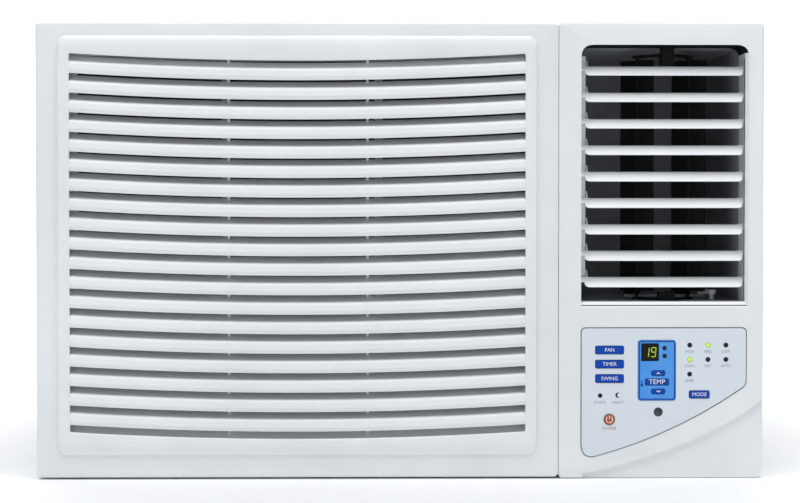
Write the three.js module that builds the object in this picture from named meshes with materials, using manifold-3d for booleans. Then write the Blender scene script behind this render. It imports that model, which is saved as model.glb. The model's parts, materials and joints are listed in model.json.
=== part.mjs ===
// Window air conditioner. Millimetres, +X to the right seen from the room, -Y into the room, +Z up.
// The origin lies on the plane it rests on, under the middle of the case.

import * as THREE from 'three';
import { mergeVertices } from 'three/addons/utils/BufferGeometryUtils.js';
import Module from 'manifold-3d';

const wasm = await Module();
wasm.setup();

// ---------- Driving dimensions ----------

const WIDTH = 600;
const DEPTH = 560;
const HEIGHT = 376.5;
const PANEL_WIDTH = 169.1; // fixed panel to the right of the seam
const SKIN = 2.5; // moulded wall
const SHEET = 1.5; // sheet steel
const GAP = 0.3; // between pieces that touch
const PLAY = 0.4; // between pieces that move past each other

const FRONT_Y = -DEPTH / 2;
const RIGHT = WIDTH / 2;
const BORDER_Y = FRONT_Y + 4; // flat border behind the raised grille field
const MOULD_REAR = FRONT_Y + 76;
const SEAM = 0.6;
const PANEL_X = RIGHT - PANEL_WIDTH;
const DOOR_X0 = -RIGHT;
const DOOR_X1 = PANEL_X - SEAM;
const DOOR_Z0 = 1;
const DOOR_REAR = FRONT_Y + 25.7;

const HINGE_Y = FRONT_Y + 31;
const HINGE_Z = HEIGHT - 7;
const NOSE_R = 6.5; // rounded top of the fixed moulding that the door turns over
const PIN_R = 1.6;
const RIM_Y = FRONT_Y + 30.3; // front of the fixed rim behind the door

const SLOTS = 20;
const SLOT_HEIGHT = 5.85;
const FIELD_X0 = DOOR_X0 + 28.2;
const FIELD_X1 = DOOR_X1 - 27.8;
const FIELD_TOP = HEIGHT - 26.3;
const FIELD_BOTTOM = 39.4;
const BOW = 5.9; // how far each slat sags in its middle
const BOW_STEPS = 5;

const LOUVRES = 9;
const LOUVRE_CHORD = 12;
const LOUVRE_THICK = 1.6;
const LOUVRE_TILT = 38; // degrees, front edge down
const LOUVRE_CRANK = 9;
const LOUVRE_TAB = 1.2;
const LINK_WIDTH = 4.2;
const LOUVRE_Y = FRONT_Y + 17;

const OUTLET_X0 = PANEL_X + 18;
const OUTLET_X1 = PANEL_X + 154.2;
const OUTLET_Z0 = 146;
const OUTLET_Z1 = HEIGHT - 18.6;
const OUTLET_CORNER = 10;
const MOUTH_RIGHT = 2.2; // how far the mouth slopes outward on the right
const MOUTH_LOWER = 4.5; // and at its lower edge
const TUNNEL_REAR = FRONT_Y + 34;

const VANE_CHORD = 32;
const VANE_TURN = 50; // degrees, front edge to the right
const VANE_CRANK = 10;
const VANE_Y = FRONT_Y + 48;
const VANE_XS = [PANEL_X + 70.3, PANEL_X + 114];
const CRANK_X = PANEL_X + 134.1;

const KEY_TRAVEL = 0.8;
const FASCIA_TOP = 124.6;

const WHEEL_R = 0.265 * Math.min(HEIGHT, DOOR_X1 - DOOR_X0);
const FAN_X = DOOR_X0 + 0.56 * (DOOR_X1 - DOOR_X0);
const FAN_Z = HEIGHT * 0.5;
const FAN_R = 1.3 * WHEEL_R;
const SHAFT_R = 4;
const BULKHEAD_Y = FRONT_Y + 228;

const CORNER_STEPS = 2;
const MOUTH_STEPS = 5; // round corners of the outlet
const SWEEP_STEPS = 7; // long curves of the fascia and of the crease
const GROUND_CLEAR = 2; // sheet-steel sides end above the plane it rests on

// ---------- Finishes: colour, roughness, metalness ----------

const WHITE_ABS = ['#e8ecef', 0.42, 0];
const DUCT_BLACK = ['#33373a', 0.7, 0];
const BLACK_PLASTIC = ['#121315', 0.5, 0];
const GREY_PLASTIC = ['#8b9095', 0.55, 0];
const FASCIA_BLUE = ['#dfe7ee', 0.35, 0];
const MODULE_BLUE = ['#b9d3ea', 0.35, 0];
const KEY_BLUE = ['#0b3a9e', 0.38, 0];
const KEY_ORANGE = ['#e2461c', 0.38, 0];
const SMOKED = ['#15181a', 0.12, 0];
const BOARD_GREEN = ['#1f5a3a', 0.6, 0];
const PAINTED_STEEL = ['#d9dcdb', 0.48, 0.1];
const ZINC_STEEL = ['#a9adb0', 0.42, 0.9];
const ALUMINIUM = ['#c3c7ca', 0.4, 0.9];
const COPPER = ['#b5683f', 0.35, 1];
const BLACK_PAINT = ['#17181a', 0.45, 0.2];
const FOAM_WHITE = ['#dadcda', 0.85, 0];
const NET_GREY = ['#3a3e42', 0.8, 0];
const RUBBER = ['#1b1b1c', 0.85, 0];
const LENS_GREEN = ['#6f8f6a', 0.3, 0];

// ---------- Shape helpers ----------

const radians = THREE.MathUtils.degToRad;
const group = new THREE.Group();

// A closed mesh as a solid, with its faces turned outward.
function solid(geometry) {
  const bare = geometry.clone();
  bare.deleteAttribute('normal');
  bare.deleteAttribute('uv');
  const merged = mergeVertices(bare, 1e-4);
  const vertProperties = merged.attributes.position.array;
  const triVerts = new Uint32Array(merged.index.array);
  const made = new wasm.Manifold(new wasm.Mesh({ numProp: 3, vertProperties, triVerts }));
  if (made.volume() > 0) {
    return made;
  }
  triVerts.reverse();
  return new wasm.Manifold(new wasm.Mesh({ numProp: 3, vertProperties, triVerts }));
}

function geometryOf(body) {
  const mesh = body.getMesh();
  const geometry = new THREE.BufferGeometry();
  geometry.setAttribute('position', new THREE.BufferAttribute(mesh.vertProperties, 3));
  geometry.setIndex(new THREE.BufferAttribute(mesh.triVerts, 1));
  geometry.computeVertexNormals();
  return geometry;
}

function addMesh(name, geometry, finish) {
  const [color, roughness, metalness] = finish;
  const material = new THREE.MeshStandardMaterial({ color, roughness, metalness });
  const mesh = new THREE.Mesh(geometry, material);
  mesh.name = name;
  group.add(mesh);
  return mesh;
}

function addPiece(name, body, finish) {
  return addMesh(name, geometryOf(body), finish);
}

function join(bodies) {
  return bodies.reduce((sum, body) => sum.add(body));
}

function cut(body, tools) {
  return tools.reduce((rest, tool) => rest.subtract(tool), body);
}

function box(x0, x1, y0, y1, z0, z1) {
  const geometry = new THREE.BoxGeometry(x1 - x0, y1 - y0, z1 - z0);
  geometry.translate((x0 + x1) / 2, (y0 + y1) / 2, (z0 + z1) / 2);
  return solid(geometry);
}

function polygon(points) {
  return new THREE.Shape(points.map(([u, v]) => new THREE.Vector2(u, v)));
}

// Corner radii run top left, top right, bottom right, bottom left.
function roundedRect(x0, x1, z0, z1, radii) {
  const [tl, tr, br, bl] = radii;
  const shape = new THREE.Shape();
  shape.moveTo(x0 + bl, z0);
  shape.lineTo(x1 - br, z0);
  shape.quadraticCurveTo(x1, z0, x1, z0 + br);
  shape.lineTo(x1, z1 - tr);
  shape.quadraticCurveTo(x1, z1, x1 - tr, z1);
  shape.lineTo(x0 + tl, z1);
  shape.quadraticCurveTo(x0, z1, x0, z1 - tl);
  shape.lineTo(x0, z0 + bl);
  shape.quadraticCurveTo(x0, z0, x0 + bl, z0);
  return shape;
}

// A front-facing outline (x, z) that runs from y0 back to y1.
function plate(shape, y0, y1, curveSegments = CORNER_STEPS) {
  const options = { depth: y1 - y0, bevelEnabled: false, curveSegments };
  const geometry = new THREE.ExtrudeGeometry(shape, options);
  geometry.rotateX(Math.PI / 2);
  geometry.translate(0, y1, 0);
  return solid(geometry);
}

// The same with its front edge rounded over by the bevel.
function softPlate(shape, y0, y1, bevel, bevelSegments = 2, curveSegments = CORNER_STEPS) {
  const geometry = new THREE.ExtrudeGeometry(shape, {
    depth: y1 - y0 - bevel,
    bevelThickness: bevel,
    bevelSize: bevel,
    bevelOffset: -bevel,
    bevelSegments,
    curveSegments,
  });
  geometry.rotateX(Math.PI / 2);
  geometry.translate(0, y1, 0);
  return solid(geometry).subtract(box(-WIDTH, WIDTH, y1, y1 + 2 * bevel, -HEIGHT, 2 * HEIGHT));
}

// A side outline (y, z) that runs from x0 to x1.
function beam(shape, x0, x1, steps = 1) {
  const geometry = new THREE.ExtrudeGeometry(shape, { depth: x1 - x0, steps, bevelEnabled: false });
  const turn = new THREE.Matrix4().makeBasis(
    new THREE.Vector3(0, 1, 0),
    new THREE.Vector3(0, 0, 1),
    new THREE.Vector3(1, 0, 0),
  );
  geometry.applyMatrix4(turn);
  geometry.translate(x0, 0, 0);
  return geometry;
}

// A plan outline (x, y) that runs from z0 up to z1.
function floorPlate(shape, z0, z1) {
  const options = { depth: z1 - z0, bevelEnabled: false, curveSegments: CORNER_STEPS };
  const geometry = new THREE.ExtrudeGeometry(shape, options);
  geometry.translate(0, 0, z0);
  return solid(geometry);
}

// Turns a shape made about the Y axis onto the named axis, and moves it there.
function onAxis(geometry, axis, a, b) {
  if (axis === 'x') {
    geometry.rotateZ(-Math.PI / 2);
    geometry.translate(0, a, b);
  } else if (axis === 'y') {
    geometry.translate(a, 0, b);
  } else {
    geometry.rotateX(Math.PI / 2);
    geometry.translate(a, b, 0);
  }
  return solid(geometry);
}

function rod(axis, radius, from, to, a, b, sides = 12) {
  const geometry = new THREE.CylinderGeometry(radius, radius, to - from, sides);
  geometry.translate(0, (from + to) / 2, 0);
  return onAxis(geometry, axis, a, b);
}

// A turned piece: the profile holds pairs of radius and place along the axis.
function turned(axis, profile, a, b, sides = 24) {
  const points = profile.map(([radius, along]) => new THREE.Vector2(radius, along));
  return onAxis(new THREE.LatheGeometry(points, sides), axis, a, b);
}

function ring(axis, inner, outer, from, to, a, b, sides = 24) {
  const profile = [[inner, from], [outer, from], [outer, to], [inner, to], [inner, from]];
  return turned(axis, profile, a, b, sides);
}

function pipe(points, radius, steps, sides = 7) {
  const path = new THREE.CatmullRomCurve3(points.map((p) => new THREE.Vector3(...p)));
  const section = [];
  for (let i = 0; i < sides; i += 1) {
    const angle = (i / sides) * 2 * Math.PI;
    section.push([radius * Math.cos(angle), radius * Math.sin(angle)]);
  }
  const options = { extrudePath: path, steps, bevelEnabled: false };
  return solid(new THREE.ExtrudeGeometry(polygon(section), options));
}

// ---------- Intake door: border, raised field and bowed slats ----------

const EAR_HALF = 2.5;
const EAR_XS = [DOOR_X0 + 40, DOOR_X1 - 40];
const DOOR_RADII = [4, 2.6, 2.6, 6.5];
const FIELD_PITCH = (FIELD_TOP - FIELD_BOTTOM - SLOT_HEIGHT) / (SLOTS - 1);
const FIELD_MID = (FIELD_X0 + FIELD_X1) / 2;
const FIELD_HALF = (FIELD_X1 - FIELD_X0) / 2;

// Lowers a level beam so that its middle hangs by BOW.
function bowed(geometry) {
  const position = geometry.attributes.position;
  for (let i = 0; i < position.count; i += 1) {
    const along = (position.getX(i) - FIELD_MID) / FIELD_HALF;
    position.setZ(i, position.getZ(i) - BOW * (1 - along * along));
  }
  return solid(geometry);
}

// Side view of a slat from its lower edge: chamfer, flat face, round shoulder, then a fin up and back.
function slatOutline(z) {
  const lip = FIELD_PITCH - SLOT_HEIGHT;
  return polygon([
    [FRONT_Y + 1.2, z],
    [FRONT_Y + 2.8, z + 0.4],
    [FRONT_Y + 2.8, z + lip - 2.3],
    [FRONT_Y + 12.4, z + lip + 4.6],
    [FRONT_Y + 3.6, z + lip + 0.2],
    [FRONT_Y + 0.8, z + lip - 1.6],
    [FRONT_Y, z + lip - 3.8],
    [FRONT_Y, z + 3],
  ]);
}

function makeDoor() {
  const shell = softPlate(roundedRect(DOOR_X0, DOOR_X1, DOOR_Z0, HEIGHT, DOOR_RADII), BORDER_Y, DOOR_REAR, 2);
  const hollow = box(
    DOOR_X0 + SKIN, DOOR_X1 - SKIN, BORDER_Y + SKIN, DOOR_REAR + 1, DOOR_Z0 + SKIN, HEIGHT - SKIN,
  );
  const fieldShape = roundedRect(DOOR_X0 + 17.9, DOOR_X1 - 17.9, 20, HEIGHT - 11.4, [8, 8, 8, 8]);
  const field = softPlate(fieldShape, FRONT_Y, BORDER_Y + SKIN, 3.5);
  const opening = bowed(beam(polygon([
    [FRONT_Y - 1, FIELD_BOTTOM],
    [DOOR_REAR, FIELD_BOTTOM],
    [DOOR_REAR, FIELD_TOP],
    [FRONT_Y - 1, FIELD_TOP],
  ]), FIELD_X0, FIELD_X1, BOW_STEPS));
  const parts = [cut(shell.add(field), [hollow, opening])];
  for (let i = 0; i < SLOTS - 1; i += 1) {
    const lower = FIELD_BOTTOM + SLOT_HEIGHT + i * FIELD_PITCH;
    parts.push(bowed(beam(slatOutline(lower), FIELD_X0 - 1, FIELD_X1 + 1, BOW_STEPS)));
  }
  // Upright ribs carry the slats from behind.
  for (const side of [-1, 1]) {
    const x = FIELD_MID + side * 0.306 * FIELD_HALF;
    parts.push(box(x - 1, x + 1, FRONT_Y + 9.5, FRONT_Y + 14, FIELD_BOTTOM - 9, FIELD_TOP + 4));
  }
  // Ears at the top run back to the hinge pins.
  for (const x of EAR_XS) {
    const ear = solid(beam(polygon([
      [BORDER_Y + 4, HEIGHT - 1],
      [BORDER_Y + 4, HINGE_Z - 2],
      [HINGE_Y + 2, HINGE_Z - 2.6],
      [HINGE_Y + 2.6, HINGE_Z],
      [HINGE_Y + 1.5, HINGE_Z + 2.4],
      [DOOR_REAR - 2, HEIGHT - 1],
    ]), x - EAR_HALF, x + EAR_HALF));
    parts.push(ear, rod('x', PIN_R, x - EAR_HALF - 3, x + EAR_HALF + 3, HINGE_Y, HINGE_Z, 10));
  }
  return join(parts);
}

addPiece('intake_grille', makeDoor(), WHITE_ABS);

// ---------- Outline of the control fascia and of the set-back corner ----------

// The fascia's outline, drawn in by an inset on every side.
function fasciaShape(inset) {
  const x0 = PANEL_X + 18.1 + inset;
  const x1 = PANEL_X + 154.9 - inset;
  const top = FASCIA_TOP - inset;
  const low = 18 + inset;
  const shape = new THREE.Shape();
  shape.moveTo(x0, low + 11);
  shape.quadraticCurveTo(x0, low - 1.8, PANEL_X + 29.1 + inset, low);
  shape.quadraticCurveTo(PANEL_X + 92.5, 34.5 + 1.2 * inset, PANEL_X + 150.6 - inset, 74 + inset);
  shape.quadraticCurveTo(x1, 76.5 + inset, x1, 81 + inset);
  shape.lineTo(x1, top - 4.5);
  shape.quadraticCurveTo(x1, top, x1 - 4.5, top);
  shape.lineTo(x0 + 4.5, top);
  shape.quadraticCurveTo(x0, top, x0, top - 4.5);
  return shape;
}

// The lower right corner of the panel below the swept crease.
function cornerShape(rise) {
  const shape = new THREE.Shape();
  shape.moveTo(PANEL_X + 19.1, 4 + rise);
  shape.quadraticCurveTo(PANEL_X + 112.1, 22.5 + rise, RIGHT + 1, 66 + rise);
  shape.lineTo(RIGHT + 1, -1);
  shape.lineTo(PANEL_X + 19.1, -1);
  return shape;
}

// ---------- Control pieces, told apart by their place on the panel ----------

const FASCIA_Y0 = BORDER_Y - 0.4;
const FASCIA_Y1 = BORDER_Y + 2.5;
const MODULE_Y0 = FASCIA_Y0 - 0.4;
const FLANGE = 1;
const FLANGE_Y0 = FASCIA_Y1 + GAP;
const FLANGE_Y1 = FLANGE_Y0 + 1.4;
const BOARD_Y = FLANGE_Y1 + 4.6;

// Left, right, bottom and top of each key, counted from the panel's left edge and from the base.
const KEYS = [
  { name: 'key_fan', at: [30, 53.2, 103, 109.5], finish: KEY_BLUE, face: FASCIA_Y0 },
  { name: 'key_timer', at: [30, 53.2, 91.3, 97.8], finish: KEY_BLUE, face: FASCIA_Y0 },
  { name: 'key_swing', at: [30, 53.2, 79.3, 85.9], finish: KEY_BLUE, face: FASCIA_Y0 },
  { name: 'key_mode', at: [107.7, 124.3, 66.3, 72.4], finish: KEY_BLUE, face: FASCIA_Y0 },
  { name: 'key_temp_up', at: [76.5, 87.3, 85.3, 89], finish: KEY_BLUE, face: MODULE_Y0 },
  { name: 'key_temp_down', at: [76.5, 87.3, 70.1, 73.8], finish: KEY_BLUE, face: MODULE_Y0 },
];
const POWER = { x: PANEL_X + 41.5, z: 48.8, r: 4.4 };
const RECEIVER = { x: PANEL_X + 82, z: 54.9, r: 3.5 };
const MODULE = [65.2, 96.4, 64.5, 114.3];
const WINDOW = [68, 82.1, 97.3, 111.5];
const LIGHTS = [
  [108, 110.2], [123.1, 110.2], [138, 110.2], [108, 98.3], [123.1, 98.3], [138, 98.3], [108, 86.2],
];
const LIGHT_R = 1.9;

function panelRect(at, grow, radius) {
  const [x0, x1, z0, z1] = at;
  const radii = [radius, radius, radius, radius];
  return roundedRect(PANEL_X + x0 - grow, PANEL_X + x1 + grow, z0 - grow, z1 + grow, radii);
}

for (const key of KEYS) {
  const cap = softPlate(panelRect(key.at, 0, 1.2), key.face - 0.7, FLANGE_Y1, 0.35, 1);
  const stop = plate(panelRect(key.at, FLANGE, 1.2), FLANGE_Y0, FLANGE_Y1);
  const [x0, x1, z0, z1] = key.at;
  const mid = PANEL_X + (x0 + x1) / 2;
  const stem = rod('y', 1.3, FLANGE_Y0, BOARD_Y - KEY_TRAVEL - PLAY, mid, (z0 + z1) / 2, 8);
  addPiece(key.name, join([cap, stop, stem]), key.finish);
}
addPiece('key_power', turned('y', [
  [0, FASCIA_Y0 - 0.6],
  [POWER.r - 1.2, FASCIA_Y0 - 0.6],
  [POWER.r - 0.4, FASCIA_Y0 - 1],
  [POWER.r, FASCIA_Y0 - 0.6],
  [POWER.r, FLANGE_Y0],
  [POWER.r + FLANGE, FLANGE_Y0],
  [POWER.r + FLANGE, FLANGE_Y1],
  [1.3, FLANGE_Y1],
  [1.3, BOARD_Y - KEY_TRAVEL - PLAY],
  [0, BOARD_Y - KEY_TRAVEL - PLAY],
], POWER.x, POWER.z), KEY_ORANGE);

const moduleKeys = KEYS.filter((key) => key.face === MODULE_Y0);
const fasciaKeys = KEYS.filter((key) => key.face === FASCIA_Y0);
const through = [FASCIA_Y0 - 2, FLANGE_Y1 + 1];
const fasciaHoles = [
  plate(panelRect(MODULE, GAP, 2.7), ...through),
  rod('y', POWER.r + PLAY, ...through, POWER.x, POWER.z, 24),
  rod('y', RECEIVER.r + GAP, ...through, RECEIVER.x, RECEIVER.z, 16),
  ...fasciaKeys.map((key) => plate(panelRect(key.at, PLAY, 1.4), ...through)),
  ...LIGHTS.map(([x, z]) => rod('y', LIGHT_R + GAP, ...through, PANEL_X + x, z, 8)),
];
const fasciaBody = plate(fasciaShape(0), FASCIA_Y0, FASCIA_Y1, SWEEP_STEPS);
addPiece('control_fascia', cut(fasciaBody, fasciaHoles), FASCIA_BLUE);

// The module is held by a thicker, flanged upper half, which stays clear of the keys' flanges.
const moduleUpper = [MODULE[0], MODULE[1], 92, MODULE[3]];
const moduleFlange = plate(panelRect(moduleUpper, FLANGE, 2), FLANGE_Y0, FLANGE_Y1).add(
  plate(panelRect(moduleUpper, 0, 2), FASCIA_Y0 + 1, FLANGE_Y1),
);
const moduleHoles = [
  plate(panelRect(WINDOW, GAP, 0.6), ...through),
  ...moduleKeys.map((key) => plate(panelRect(key.at, PLAY, 1.4), ...through)),
];
const moduleBody = plate(panelRect(MODULE, 0, 2.7), MODULE_Y0, FASCIA_Y1).add(moduleFlange);
addPiece('display_panel', cut(moduleBody, moduleHoles), MODULE_BLUE);
const windowBody = plate(panelRect(WINDOW, 0, 0.6), MODULE_Y0 + 0.2, BOARD_Y - GAP);
addPiece('display_window', windowBody, SMOKED);

addPiece('ir_lens', turned('y', [
  [0, FASCIA_Y0 - 0.9],
  [RECEIVER.r * 0.6, FASCIA_Y0 - 0.7],
  [RECEIVER.r, FASCIA_Y0],
  [RECEIVER.r, FLANGE_Y0],
  [RECEIVER.r + FLANGE, FLANGE_Y0],
  [RECEIVER.r + FLANGE, BOARD_Y - GAP],
  [0, BOARD_Y - GAP],
], RECEIVER.x, RECEIVER.z, 16), SMOKED);

const guidePlate = plate(panelRect([104, 142, 82.2, 112.6], 0, 1), FLANGE_Y0, FLANGE_Y1);
const guidePegs = LIGHTS.map(([x, z]) => rod('y', LIGHT_R, FASCIA_Y0 - 0.1, FLANGE_Y1, PANEL_X + x, z, 8));
addPiece('led_guide', join([guidePlate, ...guidePegs]), LENS_GREEN);

const BOARD_T = 1.6;
const boardShape = panelRect([26, 144, 42, 118], 0, 1);
addPiece('control_pcb', plate(boardShape, BOARD_Y, BOARD_Y + BOARD_T), BOARD_GREEN);

// ---------- Fixed front moulding ----------

const WINDOW_X0 = DOOR_X0 + 30;
const WINDOW_X1 = DOOR_X1 - 25;
const WINDOW_Z0 = 30;
const WINDOW_Z1 = HEIGHT - 26;
const FILTER_Y0 = RIM_Y + SKIN + 3.2; // far enough back to slide up past the open door
const FILTER_T = 5;
const FILTER_X0 = WINDOW_X0 - 8;
const FILTER_X1 = WINDOW_X1 + 8;
const FILTER_Z0 = WINDOW_Z0 - 5;
const FILTER_Z1 = WINDOW_Z1 + 3;
const PAN_X = RIGHT - 8.5;
const PAN_Y0 = FRONT_Y + 34;

// Side view of the nose: a round lip about the hinge line, joined to the rim by a shelf.
function noseOutline() {
  const points = [];
  const steps = 6;
  for (let i = 0; i <= steps; i += 1) {
    const angle = radians(90 + (i * 90) / steps);
    points.push([HINGE_Y + NOSE_R * Math.cos(angle), HINGE_Z + NOSE_R * Math.sin(angle)]);
  }
  points.push([HINGE_Y - NOSE_R, HINGE_Z - 3]);
  points.push([RIM_Y + 1, HINGE_Z - 3]);
  points.push([RIM_Y + 1, HINGE_Z - 1]);
  points.push([HINGE_Y - NOSE_R + 2, HINGE_Z - 1]);
  for (let i = steps; i >= 0; i -= 1) {
    const angle = radians(90 + (i * 80) / steps);
    const inner = NOSE_R - 2;
    points.push([HINGE_Y + inner * Math.cos(angle), HINGE_Z + inner * Math.sin(angle)]);
  }
  return polygon(points);
}

// A passage through the panel: straight inside, spread to the right and downward at the front edge.
function flaredHole(shape, y0, y1) {
  const geometry = new THREE.ExtrudeGeometry(shape, {
    depth: y1 - y0,
    bevelEnabled: false,
    curveSegments: MOUTH_STEPS,
  });
  geometry.rotateX(Math.PI / 2);
  geometry.translate(0, y1, 0);
  const midX = (OUTLET_X0 + OUTLET_X1) / 2;
  const midZ = (OUTLET_Z0 + OUTLET_Z1) / 2;
  const position = geometry.attributes.position;
  for (let i = 0; i < position.count; i += 1) {
    if (position.getY(i) < (y0 + y1) / 2) {
      position.setX(i, position.getX(i) + (position.getX(i) > midX ? MOUTH_RIGHT : 0));
      position.setZ(i, position.getZ(i) - (position.getZ(i) < midZ ? MOUTH_LOWER : 0));
    }
  }
  return solid(geometry);
}

const LOUVRE_TOP = OUTLET_Z1 - 17.5;
const LOUVRE_PITCH = (LOUVRE_TOP - OUTLET_Z0 - 19.4) / (LOUVRES - 1);
const LOUVRE_ZS = Array.from({ length: LOUVRES }, (_, i) => LOUVRE_TOP - i * LOUVRE_PITCH);

function makeMoulding() {
  const panelShape = roundedRect(PANEL_X, RIGHT, 0, HEIGHT, [2.6, 4, 6.5, 2.6]);
  const panel = cut(softPlate(panelShape, BORDER_Y, RIM_Y + 1, 2, 2, 4), [
    box(PANEL_X + SKIN, RIGHT - SKIN, BORDER_Y + SKIN, RIM_Y + 2, SKIN, HEIGHT - SKIN),
  ]);
  const ringShape = roundedRect(-RIGHT, RIGHT, 0, HEIGHT, [4, 4, 6.5, 6.5]);
  const surround = cut(plate(ringShape, RIM_Y, MOULD_REAR), [
    box(-RIGHT + SKIN, PANEL_X - SEAM, RIM_Y + SKIN, MOULD_REAR + 1, SKIN, HEIGHT - SKIN),
    box(PANEL_X - SEAM - 1, RIGHT - SKIN, RIM_Y - 1, MOULD_REAR + 1, SKIN, HEIGHT - SKIN),
    box(WINDOW_X0, WINDOW_X1, RIM_Y - 1, RIM_Y + SKIN + 1, WINDOW_Z0, WINDOW_Z1),
    box(-RIGHT - 1, DOOR_X1, RIM_Y - 1, MOULD_REAR + 1, HEIGHT - 0.5, HEIGHT + 1),
    box(-PAN_X - GAP, PAN_X + GAP, PAN_Y0 - GAP, MOULD_REAR + 1, -1, SKIN + 1),
  ]);
  const nose = solid(beam(noseOutline(), DOOR_X0 + SKIN + 0.6, DOOR_X1 - SKIN - 0.6));

  // Backing for the set-back corner, and the ledge that the fascia sits on.
  const backing = plate(cornerShape(3), BORDER_Y + SKIN - 0.5, BORDER_Y + SKIN + 3, SWEEP_STEPS).intersect(
    box(PANEL_X + 1, RIGHT - 1, BORDER_Y, RIM_Y, 1, HEIGHT),
  );
  const setBack = plate(cornerShape(0), BORDER_Y - 5, BORDER_Y + 3, SWEEP_STEPS);
  const ledge = plate(fasciaShape(-2), FASCIA_Y1 - 1, FASCIA_Y1 + GAP + 1.5);
  const seat = plate(fasciaShape(-0.4), BORDER_Y - 5, FASCIA_Y1 + GAP, SWEEP_STEPS);
  const seatOpening = plate(fasciaShape(4), BORDER_Y - 5, RIM_Y);

  const tunnel = box(
    OUTLET_X0 - 2, OUTLET_X1 + 2, BORDER_Y + 1, TUNNEL_REAR, OUTLET_Z0 - 2, OUTLET_Z1 + 2,
  );
  const corners = [OUTLET_CORNER, OUTLET_CORNER, 0.5, 0.5];
  const straight = roundedRect(OUTLET_X0, OUTLET_X1, OUTLET_Z0, OUTLET_Z1, corners);
  const passage = plate(straight, BORDER_Y - 1, TUNNEL_REAR + 1, MOUTH_STEPS);
  const mouth = flaredHole(straight, BORDER_Y - 0.01, BORDER_Y + 3.5);
  const bearings = LOUVRE_ZS.map((z) => rod('x', 1.5, OUTLET_X0 - 3, OUTLET_X1 + 3, LOUVRE_Y, z, 8));

  const parts = [panel, surround, nose, backing];
  const body = cut(join(parts), [setBack]);
  const withControls = cut(body.add(ledge).add(tunnel), [seat, seatOpening, passage, mouth, ...bearings]);

  // Rails behind the rim guide the filter on both sides, and a ledge carries it.
  const railY = FILTER_Y0 + FILTER_T + PLAY;
  const rails = [];
  for (const [edge, side] of [[FILTER_X0, -1], [FILTER_X1, 1]]) {
    const wall = edge + side * PLAY;
    const lip = edge - side * 4;
    const outer = wall + side * 2;
    rails.push(box(
      Math.min(wall, outer), Math.max(wall, outer), RIM_Y + 1, railY + 2, FILTER_Z0 - 3, FILTER_Z1,
    ));
    rails.push(box(Math.min(outer, lip), Math.max(outer, lip), railY, railY + 2, FILTER_Z0 - 3, FILTER_Z1));
  }
  rails.push(box(FILTER_X0 - 2, FILTER_X1 + 2, RIM_Y + 1, railY + 2, FILTER_Z0 - 3, FILTER_Z0 - GAP));

  // Bosses behind the panel carry the circuit board.
  const bosses = [[28, 44.5], [141.5, 115.6], [28, 115.6]].map(([x, z]) => (
    rod('y', 2.4, FLANGE_Y0 + 1, BOARD_Y - GAP, PANEL_X + x, z, 8)
  ));
  const bossArms = [
    box(PANEL_X + 20, PANEL_X + 28, FASCIA_Y1 + GAP, FASCIA_Y1 + GAP + 1.5, 40, FASCIA_TOP - 3),
    box(PANEL_X + 139, PANEL_X + 153, FASCIA_Y1 + GAP, FASCIA_Y1 + GAP + 1.5, 113, FASCIA_TOP - 3),
  ];

  const sockets = [];
  const notches = [];
  for (const x of EAR_XS) {
    notches.push(box(
      x - EAR_HALF - PLAY, x + EAR_HALF + PLAY, HINGE_Y - 9, HINGE_Y + 7, HINGE_Z - 5, HEIGHT + 1,
    ));
    for (const side of [-1, 1]) {
      const near = x + side * (EAR_HALF + PLAY);
      const far = x + side * (EAR_HALF + PLAY + 2.4);
      const from = Math.min(near, far);
      const to = Math.max(near, far);
      sockets.push(rod('x', 5, from, to, HINGE_Y, HINGE_Z, 12));
    }
  }
  const pinHoles = EAR_XS.map((x) => (
    rod('x', PIN_R + GAP, x - EAR_HALF - 3.4, x + EAR_HALF + 3.4, HINGE_Y, HINGE_Z, 10)
  ));
  // Relief at both ends of the nose, where the door's side walls turn past it.
  const reliefs = [
    box(-RIGHT - 1, DOOR_X0 + SKIN + 0.6, RIM_Y - 1, HINGE_Y + 5.5, HINGE_Z + 3.5, HEIGHT + 1),
    box(DOOR_X1 - SKIN - 0.6, DOOR_X1 + 0.3, RIM_Y - 1, HINGE_Y + 5.5, HINGE_Z + 3.5, HEIGHT + 1),
  ];
  const filterSlot = box(
    FILTER_X0 - PLAY, FILTER_X1 + PLAY,
    FILTER_Y0 - PLAY, FILTER_Y0 + FILTER_T + PLAY,
    HINGE_Z - 5, HEIGHT + 1,
  );
  const whole = join([withControls, ...rails, ...bosses, ...bossArms, ...sockets]);
  return cut(whole, [...notches, ...pinHoles, ...reliefs, filterSlot]);
}
addPiece('front_moulding', makeMoulding(), WHITE_ABS);

// ---------- Air filter: frame with cross bars, net behind them ----------

const filterBorder = 7;
const filterWindows = [];
const filterColumns = 3;
const filterRows = 2;
const cellW = (FILTER_X1 - FILTER_X0 - filterBorder) / filterColumns;
const cellH = (FILTER_Z1 - FILTER_Z0 - filterBorder) / filterRows;
for (let column = 0; column < filterColumns; column += 1) {
  for (let row = 0; row < filterRows; row += 1) {
    const x = FILTER_X0 + filterBorder + column * cellW;
    const z = FILTER_Z0 + filterBorder + row * cellH;
    filterWindows.push(box(
      x, x + cellW - filterBorder, FILTER_Y0 - 1, FILTER_Y0 + FILTER_T + 1, z, z + cellH - filterBorder,
    ));
  }
}
const netPocket = box(
  FILTER_X0 + 5, FILTER_X1 - 5, FILTER_Y0 + 3, FILTER_Y0 + FILTER_T + 1, FILTER_Z0 + 5, FILTER_Z1 - 5,
);
const filterMid = (FILTER_X0 + FILTER_X1) / 2;
const pullTab = box(
  filterMid - 25, filterMid + 25, FILTER_Y0, FILTER_Y0 + FILTER_T, FILTER_Z1 - 1, HEIGHT - 4,
);
const filterPlate = box(FILTER_X0, FILTER_X1, FILTER_Y0, FILTER_Y0 + FILTER_T, FILTER_Z0, FILTER_Z1);
addPiece('filter_frame', cut(filterPlate.add(pullTab), [...filterWindows, netPocket]), GREY_PLASTIC);
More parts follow.
